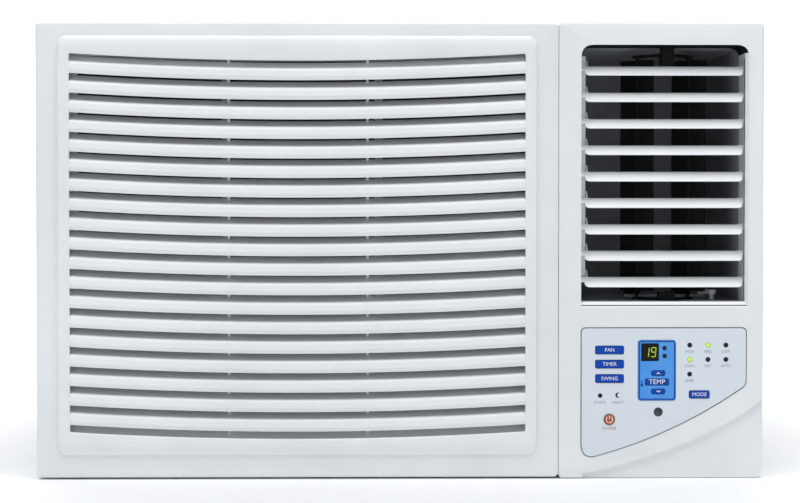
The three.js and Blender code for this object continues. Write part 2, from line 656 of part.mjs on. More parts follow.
addPiece('filter_net', box(
  FILTER_X0 + 5 + GAP, FILTER_X1 - 5 - GAP, FILTER_Y0 + 3 + GAP, FILTER_Y0 + FILTER_T - 0.6,
  FILTER_Z0 + 5 + GAP, FILTER_Z1 - 5 - GAP,
), NET_GREY);

// ---------- Louvres and the bar that gangs them ----------

const LOUVRE_X0 = OUTLET_X0 + 3.7;
const LOUVRE_X1 = OUTLET_X1 - 1.6;
const LINK_X0 = OUTLET_X0 + 1.2;
const LINK_X1 = LINK_X0 + LINK_WIDTH;

// One louvre about its own pivot line, with its front edge straight ahead.
function louvreBody() {
  const shape = new THREE.Shape();
  shape.moveTo(LOUVRE_X0, 0);
  shape.lineTo(LOUVRE_X0, -LOUVRE_CHORD + 4);
  shape.quadraticCurveTo(LOUVRE_X0, -LOUVRE_CHORD, LOUVRE_X0 + 4, -LOUVRE_CHORD);
  shape.lineTo(LOUVRE_X1 - 4, -LOUVRE_CHORD);
  shape.quadraticCurveTo(LOUVRE_X1, -LOUVRE_CHORD, LOUVRE_X1, -LOUVRE_CHORD + 4);
  shape.lineTo(LOUVRE_X1, 0);
  const blade = floorPlate(shape, -LOUVRE_THICK / 2, LOUVRE_THICK / 2);
  const tab = box(
    LINK_X1 + PLAY, LINK_X1 + PLAY + LOUVRE_TAB, -1, LOUVRE_CRANK + 1.2, -LOUVRE_THICK / 2, LOUVRE_THICK / 2,
  );
  const spine = rod('x', 1.1, OUTLET_X0 - 1.4, OUTLET_X1 + 1.4, 0, 0, 6);
  const crankPin = rod('x', 0.8, LINK_X0 + 0.4, LINK_X1 + PLAY + 1, LOUVRE_CRANK, 0, 6);
  return join([blade, tab, spine, crankPin]);
}
const louvreGeometry = geometryOf(louvreBody());
LOUVRE_ZS.forEach((z, i) => {
  const louvre = addMesh(`louvre_${i + 1}`, louvreGeometry.clone(), WHITE_ABS);
  louvre.position.set(0, LOUVRE_Y, z);
  louvre.rotation.x = radians(LOUVRE_TILT);
});

const linkY = LOUVRE_Y + LOUVRE_CRANK * Math.cos(radians(LOUVRE_TILT));
const linkRise = LOUVRE_CRANK * Math.sin(radians(LOUVRE_TILT));
const linkHoles = LOUVRE_ZS.map((z) => rod('x', 0.8 + GAP, LINK_X0 - 1, LINK_X1 + 1, linkY, z + linkRise, 8));
const linkBar = box(
  LINK_X0, LINK_X1, linkY - 2, linkY + 2, LOUVRE_ZS[LOUVRES - 1] + linkRise - 4, LOUVRE_TOP + linkRise + 4,
);
addPiece('louvre_link', cut(linkBar, linkHoles), GREY_PLASTIC);

// ---------- Blower scroll, outlet duct ----------

const SCROLL_Y0 = FRONT_Y + 104;
const SCROLL_Y1 = BULKHEAD_Y - 30;
const SCROLL_END = OUTLET_X0 - 3.8;
const TONGUE = 20; // degrees above level where the spiral starts

// Front view of the spiral: from the tongue clockwise round to the top, then out to the right.
function scrollShape(grow) {
  const points = [];
  const steps = 22;
  for (let i = 0; i <= steps; i += 1) {
    const t = i / steps;
    const angle = radians(TONGUE - (270 + TONGUE) * t);
    const radius = WHEEL_R * (1.1 + 0.38 * t) + grow;
    points.push([FAN_X + radius * Math.cos(angle), FAN_Z + radius * Math.sin(angle)]);
  }
  const channelFloor = FAN_Z + WHEEL_R * 1.1 * Math.sin(radians(TONGUE));
  points.push([SCROLL_END, FAN_Z + WHEEL_R * 1.48 + grow]);
  points.push([SCROLL_END, channelFloor - grow]);
  points.push([FAN_X + WHEEL_R * 1.1, channelFloor - grow]);
  return polygon(points);
}
const scrollOuter = plate(scrollShape(2), SCROLL_Y0, SCROLL_Y1);
const scrollInner = plate(scrollShape(0), SCROLL_Y0 + 2, SCROLL_Y1 - 2);
const channelZ0 = FAN_Z + WHEEL_R * 1.1 * Math.sin(radians(TONGUE));
const channelZ1 = FAN_Z + WHEEL_R * 1.48;
addPiece('blower_scroll', cut(scrollOuter, [
  scrollInner,
  rod('y', WHEEL_R * 0.84, SCROLL_Y0 - 1, SCROLL_Y0 + 3, FAN_X, FAN_Z, 28),
  rod('y', SHAFT_R + 6, SCROLL_Y1 - 3, SCROLL_Y1 + 1, FAN_X, FAN_Z, 16),
  box(SCROLL_END - 5, SCROLL_END + 1, SCROLL_Y0 + 2, SCROLL_Y1 - 2, channelZ0 + 0.5, channelZ1 - 0.5),
]), FOAM_WHITE);

const DUCT_Y0 = TUNNEL_REAR + GAP;
const DUCT_Y1 = SCROLL_Y1;
const ductOuter = box(OUTLET_X0 - 2, OUTLET_X1 + 2, DUCT_Y0, DUCT_Y1, OUTLET_Z0 - 2, OUTLET_Z1 + 2);
const ductInner = box(OUTLET_X0, OUTLET_X1, DUCT_Y0 - 1, DUCT_Y1 - 2, OUTLET_Z0, OUTLET_Z1);
addPiece('outlet_duct', cut(ductOuter, [
  ductInner,
  box(OUTLET_X0 - 3, OUTLET_X0 + 1, SCROLL_Y0 + 2, SCROLL_Y1 - 2, channelZ0, channelZ1),
  rod('z', 2 + PLAY, OUTLET_Z0 - 3, OUTLET_Z0 + 1, CRANK_X, VANE_Y, 12),
]), DUCT_BLACK);

// ---------- Upright vanes, their mounts, the rod and the crank ----------

const VANE_Z0 = OUTLET_Z0 + 7.2;
const VANE_Z1 = OUTLET_Z1 - 9.1;
const MOUNT_X = (VANE_XS[0] + VANE_XS[1]) / 2;
const MOUNT_Y = FRONT_Y + 27;
const LINK_Z0 = OUTLET_Z0 + 2.3;
const LINK_Z1 = LINK_Z0 + 1.8;
const ARM_Z0 = LINK_Z1 + PLAY;
const VANE_PIN = 1.3;

// A V-shaped carrier: a block in the middle and an arm to each vane's pivot.
function vaneMount(armZ0, armZ1, blockZ0, blockZ1, blockHalf) {
  const parts = [box(MOUNT_X - blockHalf, MOUNT_X + blockHalf, MOUNT_Y - 5, MOUNT_Y + 5, blockZ0, blockZ1)];
  for (const x of VANE_XS) {
    const reach = Math.hypot(x - MOUNT_X, VANE_Y - MOUNT_Y);
    const arm = new THREE.BoxGeometry(reach, 5, armZ1 - armZ0);
    arm.rotateZ(Math.atan2(VANE_Y - MOUNT_Y, x - MOUNT_X));
    arm.translate((x + MOUNT_X) / 2, (VANE_Y + MOUNT_Y) / 2, (armZ0 + armZ1) / 2);
    parts.push(solid(arm), rod('z', 4, armZ0, armZ1, x, VANE_Y, 12));
  }
  const holes = VANE_XS.map((x) => rod('z', VANE_PIN + GAP, armZ0 - 1, armZ1 + 1, x, VANE_Y, 8));
  return cut(join(parts), holes);
}
addPiece('vane_mount_lower', vaneMount(
  OUTLET_Z0 + GAP, LINK_Z0 - PLAY, OUTLET_Z0 + GAP, OUTLET_Z0 + 7, 7,
), BLACK_PLASTIC);
const topArmZ0 = VANE_Z1 + 1.8;
addPiece('vane_mount_upper', vaneMount(
  topArmZ0, topArmZ0 + 2.2, OUTLET_Z1 - 15, OUTLET_Z1 - GAP, 5.3,
), BLACK_PLASTIC);

// One vane about its own pivot line, chord along Y, with the crank arm to the rear at its foot.
function vaneBody() {
  const blade = box(-0.9, 0.9, -VANE_CHORD / 2, VANE_CHORD / 2, VANE_Z0, VANE_Z1);
  const spine = rod('z', 1.7, VANE_Z0 - 0.6, VANE_Z1 + 0.6, 0, 0, 10);
  const pin = rod('z', VANE_PIN, OUTLET_Z0 + 0.6, topArmZ0 + 2, 0, 0, 8);
  const arm = box(-2, 2, -2, VANE_CRANK + 2, ARM_Z0, VANE_Z0 + 0.4);
  const crankPin = rod('z', 0.9, LINK_Z0 + 0.1, ARM_Z0 + 1, 0, VANE_CRANK, 8);
  return join([blade, spine, pin, arm, crankPin]);
}
const vaneGeometry = geometryOf(vaneBody());
['vane_left', 'vane_right'].forEach((name, i) => {
  const vane = addMesh(name, vaneGeometry.clone(), BLACK_PLASTIC);
  vane.position.set(VANE_XS[i], VANE_Y, 0);
  vane.rotation.z = radians(VANE_TURN);
});

const crankBody = join([
  rod('z', 2, OUTLET_Z0 - 5, VANE_Z0 + 1, 0, 0, 12),
  rod('z', 3.6, ARM_Z0, VANE_Z0 + 1, 0, 0, 14),
  box(-2.2, 2.2, 0, VANE_CRANK + 2.2, ARM_Z0, VANE_Z0 + 1),
  rod('z', 0.9, LINK_Z0 + 0.1, ARM_Z0 + 1, 0, VANE_CRANK, 8),
]);
const crank = addPiece('swing_crank', crankBody, WHITE_ABS);
crank.position.set(CRANK_X, VANE_Y, 0);
crank.rotation.z = radians(VANE_TURN);

const crankDX = -VANE_CRANK * Math.sin(radians(VANE_TURN));
const crankDY = VANE_CRANK * Math.cos(radians(VANE_TURN));
const rodPins = [...VANE_XS, CRANK_X].map((x) => x + crankDX);
const rodBar = box(
  rodPins[0] - 2.2, rodPins[2] + 2.2, VANE_Y + crankDY - 1.9, VANE_Y + crankDY + 1.9, LINK_Z0, LINK_Z1,
);
const rodHoles = rodPins.map((x) => rod('z', 0.9 + GAP, LINK_Z0 - 1, LINK_Z1 + 1, x, VANE_Y + crankDY, 8));
addPiece('vane_link', cut(rodBar, rodHoles), GREY_PLASTIC);

// The crank's stem plugs into a blind hole in the motor under the duct floor.
const swingTop = OUTLET_Z0 - 2 - GAP;
addPiece('swing_motor', cut(join([
  rod('z', 13, swingTop - 17, swingTop, CRANK_X, VANE_Y, 20),
  box(CRANK_X - 18, CRANK_X + 18, VANE_Y - 4, VANE_Y + 4, swingTop - 1.2, swingTop),
]), [rod('z', 2 + GAP, OUTLET_Z0 - 5.4, swingTop + 1, CRANK_X, VANE_Y, 12)]), ZINC_STEEL);

// ---------- Base pan, cabinet, rear guard ----------

const CASE_Y0 = MOULD_REAR + GAP;
const GUARD_T = 1.6;
const GUARD_RISE = 2.4; // the guard's field stands proud of its flange
const CASE_Y1 = DEPTH / 2 - GUARD_RISE - GUARD_T - GAP;
const CASE_X = RIGHT - 1.5;
const CASE_TOP = HEIGHT - 1.5;
const PAN_RIM = 24;
const PAN_WIDE = CASE_X - SHEET - GAP;

const panOuter = join([
  box(-PAN_X, PAN_X, PAN_Y0, CASE_Y0 + 2, 0, PAN_RIM - 4),
  box(-PAN_WIDE, PAN_WIDE, CASE_Y0 + 1, CASE_Y1 - 4, 0, PAN_RIM),
]);
const DRAIN_X = -RIGHT + 46;
const DRAIN_Z = 13;
const panRibs = [-1, 1].map((side) => (
  box(side * 0.55 * RIGHT - 12, side * 0.55 * RIGHT + 12, CASE_Y0 + 20, BULKHEAD_Y - 20, 1, 6)
));
addPiece('base_pan', cut(panOuter, [
  box(-PAN_X + SHEET, PAN_X - SHEET, PAN_Y0 + SHEET, CASE_Y0 + 5, SHEET, PAN_RIM + 1),
  box(-PAN_WIDE + SHEET, PAN_WIDE - SHEET, CASE_Y0 + 1 + SHEET, CASE_Y1 - 4 - SHEET, SHEET, PAN_RIM + 1),
  rod('y', 6 + GAP, CASE_Y1 - 8, CASE_Y1 - 2, DRAIN_X, DRAIN_Z, 14),
]).add(join(panRibs)), ZINC_STEEL);

addPiece('drain_plug', turned('y', [
  [0, CASE_Y1 - 9],
  [6, CASE_Y1 - 9],
  [6, CASE_Y1 - 4 + GAP],
  [8.5, CASE_Y1 - 4 + GAP],
  [8.5, CASE_Y1 - 1],
  [0, CASE_Y1 - 1],
], DRAIN_X, DRAIN_Z, 14), RUBBER);

function makeCabinet() {
  const outline = roundedRect(-CASE_X, CASE_X, GROUND_CLEAR, CASE_TOP, [5, 5, 0.1, 0.1]);
  const hollow = box(
    -CASE_X + SHEET, CASE_X - SHEET, CASE_Y0 - 1, CASE_Y1 + 1, GROUND_CLEAR - 1, CASE_TOP - SHEET,
  );
  const tools = [hollow];
  // Side vents: two columns of level slots on both walls, towards the rear.
  const rows = 6;
  const rowPitch = (HEIGHT - 130) / rows;
  for (const y of [BULKHEAD_Y + 60, BULKHEAD_Y + 150]) {
    for (let row = 0; row < rows; row += 1) {
      const z = 70 + row * rowPitch;
      tools.push(box(-CASE_X - 1, CASE_X + 1, y, y + 70, z, z + 6));
    }
  }
  // Top vents over the outdoor fan.
  const topSlots = 7;
  for (let i = 0; i < topSlots; i += 1) {
    const x = (i - (topSlots - 1) / 2) * (WIDTH / 12);
    tools.push(box(x - 3, x + 3, BULKHEAD_Y + 110, BULKHEAD_Y + 200, CASE_TOP - 5, CASE_TOP + 1));
  }
  tools.push(rod('x', 8.4, CASE_X - 3, CASE_X + 1, CASE_Y0 + 40, 46, 16));
  return cut(plate(outline, CASE_Y0, CASE_Y1), tools);
}
addPiece('cabinet', makeCabinet(), PAINTED_STEEL);

// The gland is a flanged bush in the side wall, with a bore for the cord.
addPiece('cord_gland', turned('x', [
  [4, CASE_X - 9],
  [8, CASE_X - 9],
  [8, CASE_X + GAP],
  [11, CASE_X + GAP],
  [9.5, RIGHT],
  [4, RIGHT],
  [4, CASE_X - 9],
], CASE_Y0 + 40, 46, 16), RUBBER);

const COIL_X = RIGHT - 56;
const COIL_Z0 = PAN_RIM + 5;
const COIL_Z1 = HEIGHT - 30;
const guardShape = roundedRect(-CASE_X, CASE_X, GROUND_CLEAR, CASE_TOP, [5, 5, 0.1, 0.1]);
const GUARD_Y0 = DEPTH / 2 - GUARD_RISE - GUARD_T;
const GUARD_COLUMNS = 12;
const GUARD_ROWS = 2;
const BAR = 6;
const guardWindows = [];
const guardCellW = (2 * COIL_X - BAR) / GUARD_COLUMNS;
const guardCellH = (COIL_Z1 - COIL_Z0 - BAR) / GUARD_ROWS;
for (let column = 0; column < GUARD_COLUMNS; column += 1) {
  for (let row = 0; row < GUARD_ROWS; row += 1) {
    const x = -COIL_X + BAR + column * guardCellW;
    const z = COIL_Z0 + BAR + row * guardCellH;
    guardWindows.push(box(
      x, x + guardCellW - BAR, GUARD_Y0 - 1, DEPTH / 2 + 1, z, z + guardCellH - BAR,
    ));
  }
}
const raisedGuard = box(-COIL_X, COIL_X, GUARD_Y0 + 0.5, DEPTH / 2, COIL_Z0, COIL_Z1);
const guardPocket = box(
  -COIL_X + SHEET, COIL_X - SHEET, GUARD_Y0 - 1, DEPTH / 2 - SHEET, COIL_Z0 + SHEET, COIL_Z1 - SHEET,
);
const guardPlate = plate(guardShape, GUARD_Y0, GUARD_Y0 + GUARD_T);
addPiece('rear_guard', cut(guardPlate.add(raisedGuard), [guardPocket, ...guardWindows]), PAINTED_STEEL);

// ---------- Bulkhead, coils, fans, motor ----------

const LINE_XZ = { suction: [PANEL_X + 2, 92], capillary: [PANEL_X + 9, 44] };
const bulkheadShape = roundedRect(
  -CASE_X + SHEET + GAP, CASE_X - SHEET - GAP, PAN_RIM + GAP, CASE_TOP - SHEET - GAP, [6, 6, 0.1, 0.1],
);
addPiece('bulkhead', cut(plate(bulkheadShape, BULKHEAD_Y, BULKHEAD_Y + 2), [
  rod('y', SHAFT_R + 6, BULKHEAD_Y - 1, BULKHEAD_Y + 3, FAN_X, FAN_Z, 16),
  rod('y', 9, BULKHEAD_Y - 1, BULKHEAD_Y + 3, ...LINE_XZ.suction, 12),
  rod('y', 4, BULKHEAD_Y - 1, BULKHEAD_Y + 3, ...LINE_XZ.capillary, 10),
]), ZINC_STEEL);

// A finned block between two end plates, with hairpin bends at one end.
function coil(x0, x1, y0, y1, z0, z1, bends) {
  const parts = [
    box(x0, x1, y0, y1, z0, z1),
    box(x0 - 1.2, x0 + 0.5, y0 - 2, y1 + 2, z0 - 2, z1 + 2),
    box(x1 - 0.5, x1 + 1.2, y0 - 2, y1 + 2, z0 - 2, z1 + 2),
  ];
  const pitch = (z1 - z0) / bends;
  const mid = (y0 + y1) / 2;
  for (let i = 0; i < bends; i += 1) {
    const z = z0 + (i + 0.5) * pitch;
    const bend = new THREE.TorusGeometry(pitch * 0.26, 3.2, 5, 8);
    bend.rotateX(Math.PI / 2);
    bend.rotateX(Math.PI / 2);
    bend.translate(x0 - 1.2, mid, z);
    parts.push(solid(bend));
  }
  return join(parts);
}
const EVAP_X0 = DOOR_X0 + 36;
const EVAP_X1 = DOOR_X1 - 24;
const EVAP_Y0 = FRONT_Y + 52;
const EVAP_Y1 = SCROLL_Y0 - 14;
addPiece('evaporator', coil(EVAP_X0, EVAP_X1, EVAP_Y0, EVAP_Y1, PAN_RIM + 8, HEIGHT - 30, 7), ALUMINIUM);
const COND_Y0 = DEPTH / 2 - 62;
const COND_Y1 = DEPTH / 2 - 20;
addPiece('condenser', coil(-COIL_X, COIL_X, COND_Y0, COND_Y1, COIL_Z0, COIL_Z1, 8), ALUMINIUM);

// The shroud: a plate on the condenser with a round collar about the fan.
const SHROUD_Y1 = COND_Y0 - 2 - GAP;
const shroudPlate = box(-COIL_X, COIL_X, SHROUD_Y1 - 2, SHROUD_Y1, COIL_Z0, COIL_Z1);
const collar = ring('y', FAN_R + 5, FAN_R + 7, SHROUD_Y1 - 26, SHROUD_Y1, FAN_X, FAN_Z, 32);
const shroudHole = rod('y', FAN_R + 5, SHROUD_Y1 - 30, SHROUD_Y1 + 1, FAN_X, FAN_Z, 32);
addPiece('fan_shroud', shroudPlate.add(collar).subtract(shroudHole), FOAM_WHITE);

const MOTOR_Y0 = BULKHEAD_Y + 12;
const MOTOR_Y1 = MOTOR_Y0 + 92;
const MOTOR_R = 50;
addPiece('fan_motor', turned('y', [
  [SHAFT_R + GAP, MOTOR_Y0],
  [14, MOTOR_Y0],
  [16, MOTOR_Y0 + 8],
  [MOTOR_R - 6, MOTOR_Y0 + 12],
  [MOTOR_R, MOTOR_Y0 + 18],
  [MOTOR_R, MOTOR_Y1 - 18],
  [MOTOR_R - 6, MOTOR_Y1 - 12],
  [16, MOTOR_Y1 - 8],
  [14, MOTOR_Y1],
  [SHAFT_R + GAP, MOTOR_Y1],
  [SHAFT_R + GAP, MOTOR_Y0],
], FAN_X, FAN_Z), BLACK_PAINT);
const bracketShape = polygon([
  [FAN_X - 70, SHEET + GAP],
  [FAN_X + 70, SHEET + GAP],
  [FAN_X + 56, FAN_Z + 4],
  [FAN_X - 56, FAN_Z + 4],
]);
const bracketY = (MOTOR_Y0 + MOTOR_Y1) / 2;
addPiece('motor_bracket', cut(plate(bracketShape, bracketY - 14, bracketY + 14), [
  rod('y', MOTOR_R + 1, bracketY - 20, bracketY + 20, FAN_X, FAN_Z, 24),
  box(FAN_X - 44, FAN_X + 44, bracketY - 20, bracketY + 20, 8, FAN_Z - MOTOR_R - 14),
]), ZINC_STEEL);

const WHEEL_Y0 = SCROLL_Y0 + 8;
const WHEEL_Y1 = SCROLL_Y1 - 10;
const FAN_Y = SHROUD_Y1 - 24;
addPiece('motor_shaft', rod('y', SHAFT_R, WHEEL_Y0 + 20, FAN_Y + 22, FAN_X, FAN_Z), ZINC_STEEL);

function makeWheel() {
  const hub = [
    [SHAFT_R + GAP, WHEEL_Y1 - 26],
    [12, WHEEL_Y1 - 26],
    [16, WHEEL_Y1 - 3],
    [WHEEL_R, WHEEL_Y1 - 3],
    [WHEEL_R, WHEEL_Y1],
    [SHAFT_R + GAP, WHEEL_Y1],
    [SHAFT_R + GAP, WHEEL_Y1 - 26],
  ];
  const parts = [
    turned('y', hub, FAN_X, FAN_Z, 28),
    ring('y', WHEEL_R * 0.82, WHEEL_R, WHEEL_Y0, WHEEL_Y0 + 3, FAN_X, FAN_Z, 28),
  ];
  const blades = 24;
  for (let i = 0; i < blades; i += 1) {
    const blade = new THREE.BoxGeometry(WHEEL_R * 0.16, WHEEL_Y1 - WHEEL_Y0 - 3, 1.6);
    blade.rotateY(radians(28));
    blade.translate(WHEEL_R * 0.905, 0, 0);
    blade.rotateY((i / blades) * 2 * Math.PI);
    blade.translate(FAN_X, (WHEEL_Y0 + WHEEL_Y1) / 2, FAN_Z);
    parts.push(solid(blade));
  }
  return join(parts);
}
addPiece('blower_wheel', makeWheel(), BLACK_PLASTIC);

function makeFan() {
  const hub = [
    [SHAFT_R + GAP, FAN_Y - 16],
    [20, FAN_Y - 16],
    [26, FAN_Y + 14],
    [SHAFT_R + GAP, FAN_Y + 14],
    [SHAFT_R + GAP, FAN_Y - 16],
  ];
  const parts = [
    turned('y', hub, FAN_X, FAN_Z),
    ring('y', FAN_R - 2, FAN_R, FAN_Y - 7, FAN_Y + 7, FAN_X, FAN_Z, 24),
  ];
  const blades = 5;
  const shape = new THREE.Shape();
  shape.moveTo(18, -14);
  shape.quadraticCurveTo(FAN_R * 0.6, -50, FAN_R - 3, -34);
  shape.lineTo(FAN_R - 1.2, 0);
  shape.lineTo(FAN_R - 3, 34);
  shape.quadraticCurveTo(FAN_R * 0.6, 44, 18, 14);
  for (let i = 0; i < blades; i += 1) {
    const blade = new THREE.ExtrudeGeometry(shape, { depth: 2.2, bevelEnabled: false, curveSegments: 3 });
    blade.translate(0, 0, -1.1);
    blade.rotateX(Math.PI / 2);
    blade.rotateX(radians(20));
    blade.rotateY((i / blades) * 2 * Math.PI);
    blade.translate(FAN_X, FAN_Y, FAN_Z);
    parts.push(solid(blade));
  }
  return join(parts).subtract(rod('y', SHAFT_R + GAP, FAN_Y - 30, FAN_Y + 30, FAN_X, FAN_Z, 24));
}
addPiece('condenser_fan', makeFan(), BLACK_PLASTIC);

// ---------- Compressor and refrigerant lines ----------

const COMP_X = RIGHT - 110;
const COMP_Y = BULKHEAD_Y + 96;
const COMP_R = 56;
const COMP_Z0 = 12;
const COMP_Z1 = 0.57 * HEIGHT;
addPiece('compressor', join([
  turned('z', [
    [0, COMP_Z0],
    [COMP_R - 14, COMP_Z0],
    [COMP_R, COMP_Z0 + 14],
    [COMP_R, COMP_Z1 - 30],
    [COMP_R - 12, COMP_Z1 - 10],
    [COMP_R - 34, COMP_Z1],
    [0, COMP_Z1],
  ], COMP_X, COMP_Y),
  rod('z', 5, COMP_Z1 - 4, COMP_Z1 + 14, COMP_X, COMP_Y, 10),
  box(COMP_X + 8, COMP_X + 36, COMP_Y - 12, COMP_Y + 12, COMP_Z1 - 30, COMP_Z1 + 8),
  box(COMP_X - COMP_R - 8, COMP_X + COMP_R + 8, COMP_Y - 14, COMP_Y + 14, COMP_Z0 - 2, COMP_Z0 + 1),
]), BLACK_PAINT);
const footXs = [COMP_X - COMP_R + 2, COMP_X + COMP_R - 2];
footXs.forEach((x, i) => {
  addPiece(`compressor_foot_${i + 1}`, rod('z', 8, SHEET + GAP, COMP_Z0 - 2 - GAP, x, COMP_Y, 14), RUBBER);
});

const ACC_X = COMP_X - COMP_R - 24;
const ACC_Y = COMP_Y - 20;
const ACC_Z0 = 62;
const ACC_Z1 = 168;
addPiece('accumulator', join([
  turned('z', [
    [0, ACC_Z0],
    [8, ACC_Z0],
    [18, ACC_Z0 + 14],
    [18, ACC_Z1 - 14],
    [7, ACC_Z1],
    [0, ACC_Z1],
  ], ACC_X, ACC_Y, 18),
  pipe([
    [ACC_X, ACC_Y, ACC_Z0 + 4],
    [ACC_X, ACC_Y, ACC_Z0 - 12],
    [ACC_X + 10, ACC_Y + 7, ACC_Z0 - 22],
    [COMP_X - COMP_R + 1.2, COMP_Y - 8, ACC_Z0 - 22],
  ], 5, 12).subtract(rod('z', COMP_R + 1, COMP_Z0, COMP_Z1, COMP_X, COMP_Y, 24)),
]), BLACK_PAINT);

const lineY = EVAP_Y1 - 14;
const evapEnd = EVAP_X1 + 1.2 + GAP;
const [suctionX, suctionZ] = LINE_XZ.suction;
const [capX, capZ] = LINE_XZ.capillary;
addPiece('suction_line', pipe([
  [evapEnd, lineY, suctionZ - 20],
  [evapEnd + 9, lineY, suctionZ - 20],
  [suctionX, lineY + 20, suctionZ - 4],
  [suctionX, BULKHEAD_Y - 40, suctionZ],
  [suctionX, BULKHEAD_Y + 10, suctionZ],
  [suctionX - 8, BULKHEAD_Y + 34, ACC_Z1 - 10],
  [ACC_X, ACC_Y, ACC_Z1 + 22],
  [ACC_X, ACC_Y, ACC_Z1 + GAP],
], 4.8, 24), COPPER);
const condEnd = COIL_X + 1.2 + GAP;
const condY = (COND_Y0 + COND_Y1) / 2;
addPiece('discharge_line', pipe([
  [COMP_X, COMP_Y, COMP_Z1 + 14 + GAP],
  [COMP_X, COMP_Y + 2, COMP_Z1 + 40],
  [COMP_X + 40, COMP_Y + 50, COMP_Z1 + 62],
  [condEnd + 16, condY - 40, COIL_Z1 - 40],
  [condEnd + 12, condY, COIL_Z1 - 24],
  [condEnd, condY, COIL_Z1 - 24],
], 4, 20), COPPER);
addPiece('capillary_tube', pipe([
  [condEnd, condY - 8, COIL_Z0 + 20],
  [condEnd + 8, condY - 8, COIL_Z0 + 20],
  [COMP_X + COMP_R + 18, COMP_Y + 40, capZ],
  [COMP_X + COMP_R + 14, COMP_Y - 50, capZ],
  [COMP_X + 10, BULKHEAD_Y + 16, capZ],
  [capX + 4, BULKHEAD_Y + 12, capZ],
  [capX, BULKHEAD_Y - 20, capZ],
  [capX - 4, lineY + 24, capZ + 4],
  [evapEnd + 8, lineY, capZ + 8],
  [evapEnd, lineY, capZ + 8],
], 1.8, 34, 5), COPPER);

// ---------- Electrical box, capacitor and room sensor ----------

const BOX_X0 = PANEL_X + 22;
const BOX_X1 = RIGHT - 16;
const BOX_Y0 = FRONT_Y + 40;
const BOX_Y1 = BOX_Y0 + 84;
const BOX_Z0 = PAN_RIM + GAP;
const BOX_Z1 = OUTLET_Z0 - 24;
addPiece('electrical_box', cut(box(BOX_X0, BOX_X1, BOX_Y0, BOX_Y1, BOX_Z0, BOX_Z1), [
  box(BOX_X0 + SHEET, BOX_X1 - SHEET, BOX_Y0 + SHEET, BOX_Y1 + 1, BOX_Z0 + SHEET, BOX_Z1 - SHEET),
]), ZINC_STEEL);
addPiece('run_capacitor', turned('z', [
  [0, BOX_Z0 + SHEET + GAP],
  [21, BOX_Z0 + SHEET + GAP],
  [21, BOX_Z0 + 72],
  [19.5, BOX_Z0 + 74],
  [0, BOX_Z0 + 74],
], BOX_X0 + 34, BOX_Y0 + 42, 20), ALUMINIUM);

const sensorX = EVAP_X1 - 30;
const sensorY = EVAP_Y0 - 2 - GAP - 4;
addPiece('room_sensor', join([
  rod('z', 2.6, FAN_Z + 10, FAN_Z + 52, sensorX, sensorY, 10),
  box(sensorX - 4, sensorX + 4, sensorY - 1.5, sensorY + 4, FAN_Z + 26, FAN_Z + 34),
]), BLACK_PLASTIC);

export default group;
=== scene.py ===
import json
import math
import bmesh
import bpy
import numpy as np
from mathutils import Matrix, Vector


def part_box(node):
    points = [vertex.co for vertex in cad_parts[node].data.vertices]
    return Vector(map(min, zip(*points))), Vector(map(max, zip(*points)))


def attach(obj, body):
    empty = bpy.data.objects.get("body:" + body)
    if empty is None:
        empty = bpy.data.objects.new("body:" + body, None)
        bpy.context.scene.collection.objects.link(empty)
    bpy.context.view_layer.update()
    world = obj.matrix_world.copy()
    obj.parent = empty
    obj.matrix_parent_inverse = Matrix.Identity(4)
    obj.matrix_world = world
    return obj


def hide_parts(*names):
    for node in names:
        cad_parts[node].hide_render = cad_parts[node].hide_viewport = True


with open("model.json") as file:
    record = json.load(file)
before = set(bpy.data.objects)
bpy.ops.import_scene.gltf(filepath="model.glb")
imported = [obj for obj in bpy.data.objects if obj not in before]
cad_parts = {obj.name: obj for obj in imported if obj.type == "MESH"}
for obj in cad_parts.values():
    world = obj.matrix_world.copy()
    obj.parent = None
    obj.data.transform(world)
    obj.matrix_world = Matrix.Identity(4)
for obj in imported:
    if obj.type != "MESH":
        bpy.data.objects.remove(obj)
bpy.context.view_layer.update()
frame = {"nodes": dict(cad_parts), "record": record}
nodes = frame["nodes"]
mm = 0.001
print("frame loaded:", len(nodes), "nodes")

# camera: on the room side, 3 cm above the middle of the case and 2 cm to its left
cameraPlace = {"eye": (-0.021, -1.734, 0.2177), "pitchDown": 1.18, "yawRight": 0.8, "lens": 79.65}
cameraData = bpy.data.cameras.new("roomCamera")
cameraData.lens = cameraPlace["lens"]
cameraData.sensor_width = 36
cameraData.clip_start = 0.05
cameraData.clip_end = 60
camera = bpy.data.objects.new("roomCamera", cameraData)
camera.location = cameraPlace["eye"]
camera.rotation_euler = (
    math.radians(90 - cameraPlace["pitchDown"]), 0, math.radians(-cameraPlace["yawRight"]))
bpy.context.scene.collection.objects.link(camera)
bpy.context.scene.camera = camera
print("camera placed")


# materials

def hexLinear(hexText):
    # sRGB hex to linear light, with alpha
    values = [int(hexText[i:i + 2], 16) / 255 for i in (1, 3, 5)]
    return tuple(v / 12.92 if v <= 0.04045 else ((v + 0.055) / 1.055) ** 2.4 for v in values) + (1.0,)


def addNode(tree, kind, settings=None, values=None, links=None):
    # one node with its settings, its plain input values, and what feeds its inputs
    node = tree.nodes.new(kind)
    for key, value in (settings or {}).items():
        setattr(node, key, value)
    for key, value in (values or {}).items():
        node.inputs[key].default_value = value
    for key, source in (links or {}).items():
        tree.links.new(source, node.inputs[key])
    return node


def startMaterial(name, values):
    material = bpy.data.materials.new(name)
    material.use_nodes = True
    tree = material.node_tree
    shader = tree.nodes["Principled BSDF"]
    for key, value in values.items():
        shader.inputs[key].default_value = value
    place = addNode(tree, "ShaderNodeTexCoord").outputs["Object"]
    return material, tree, shader, place


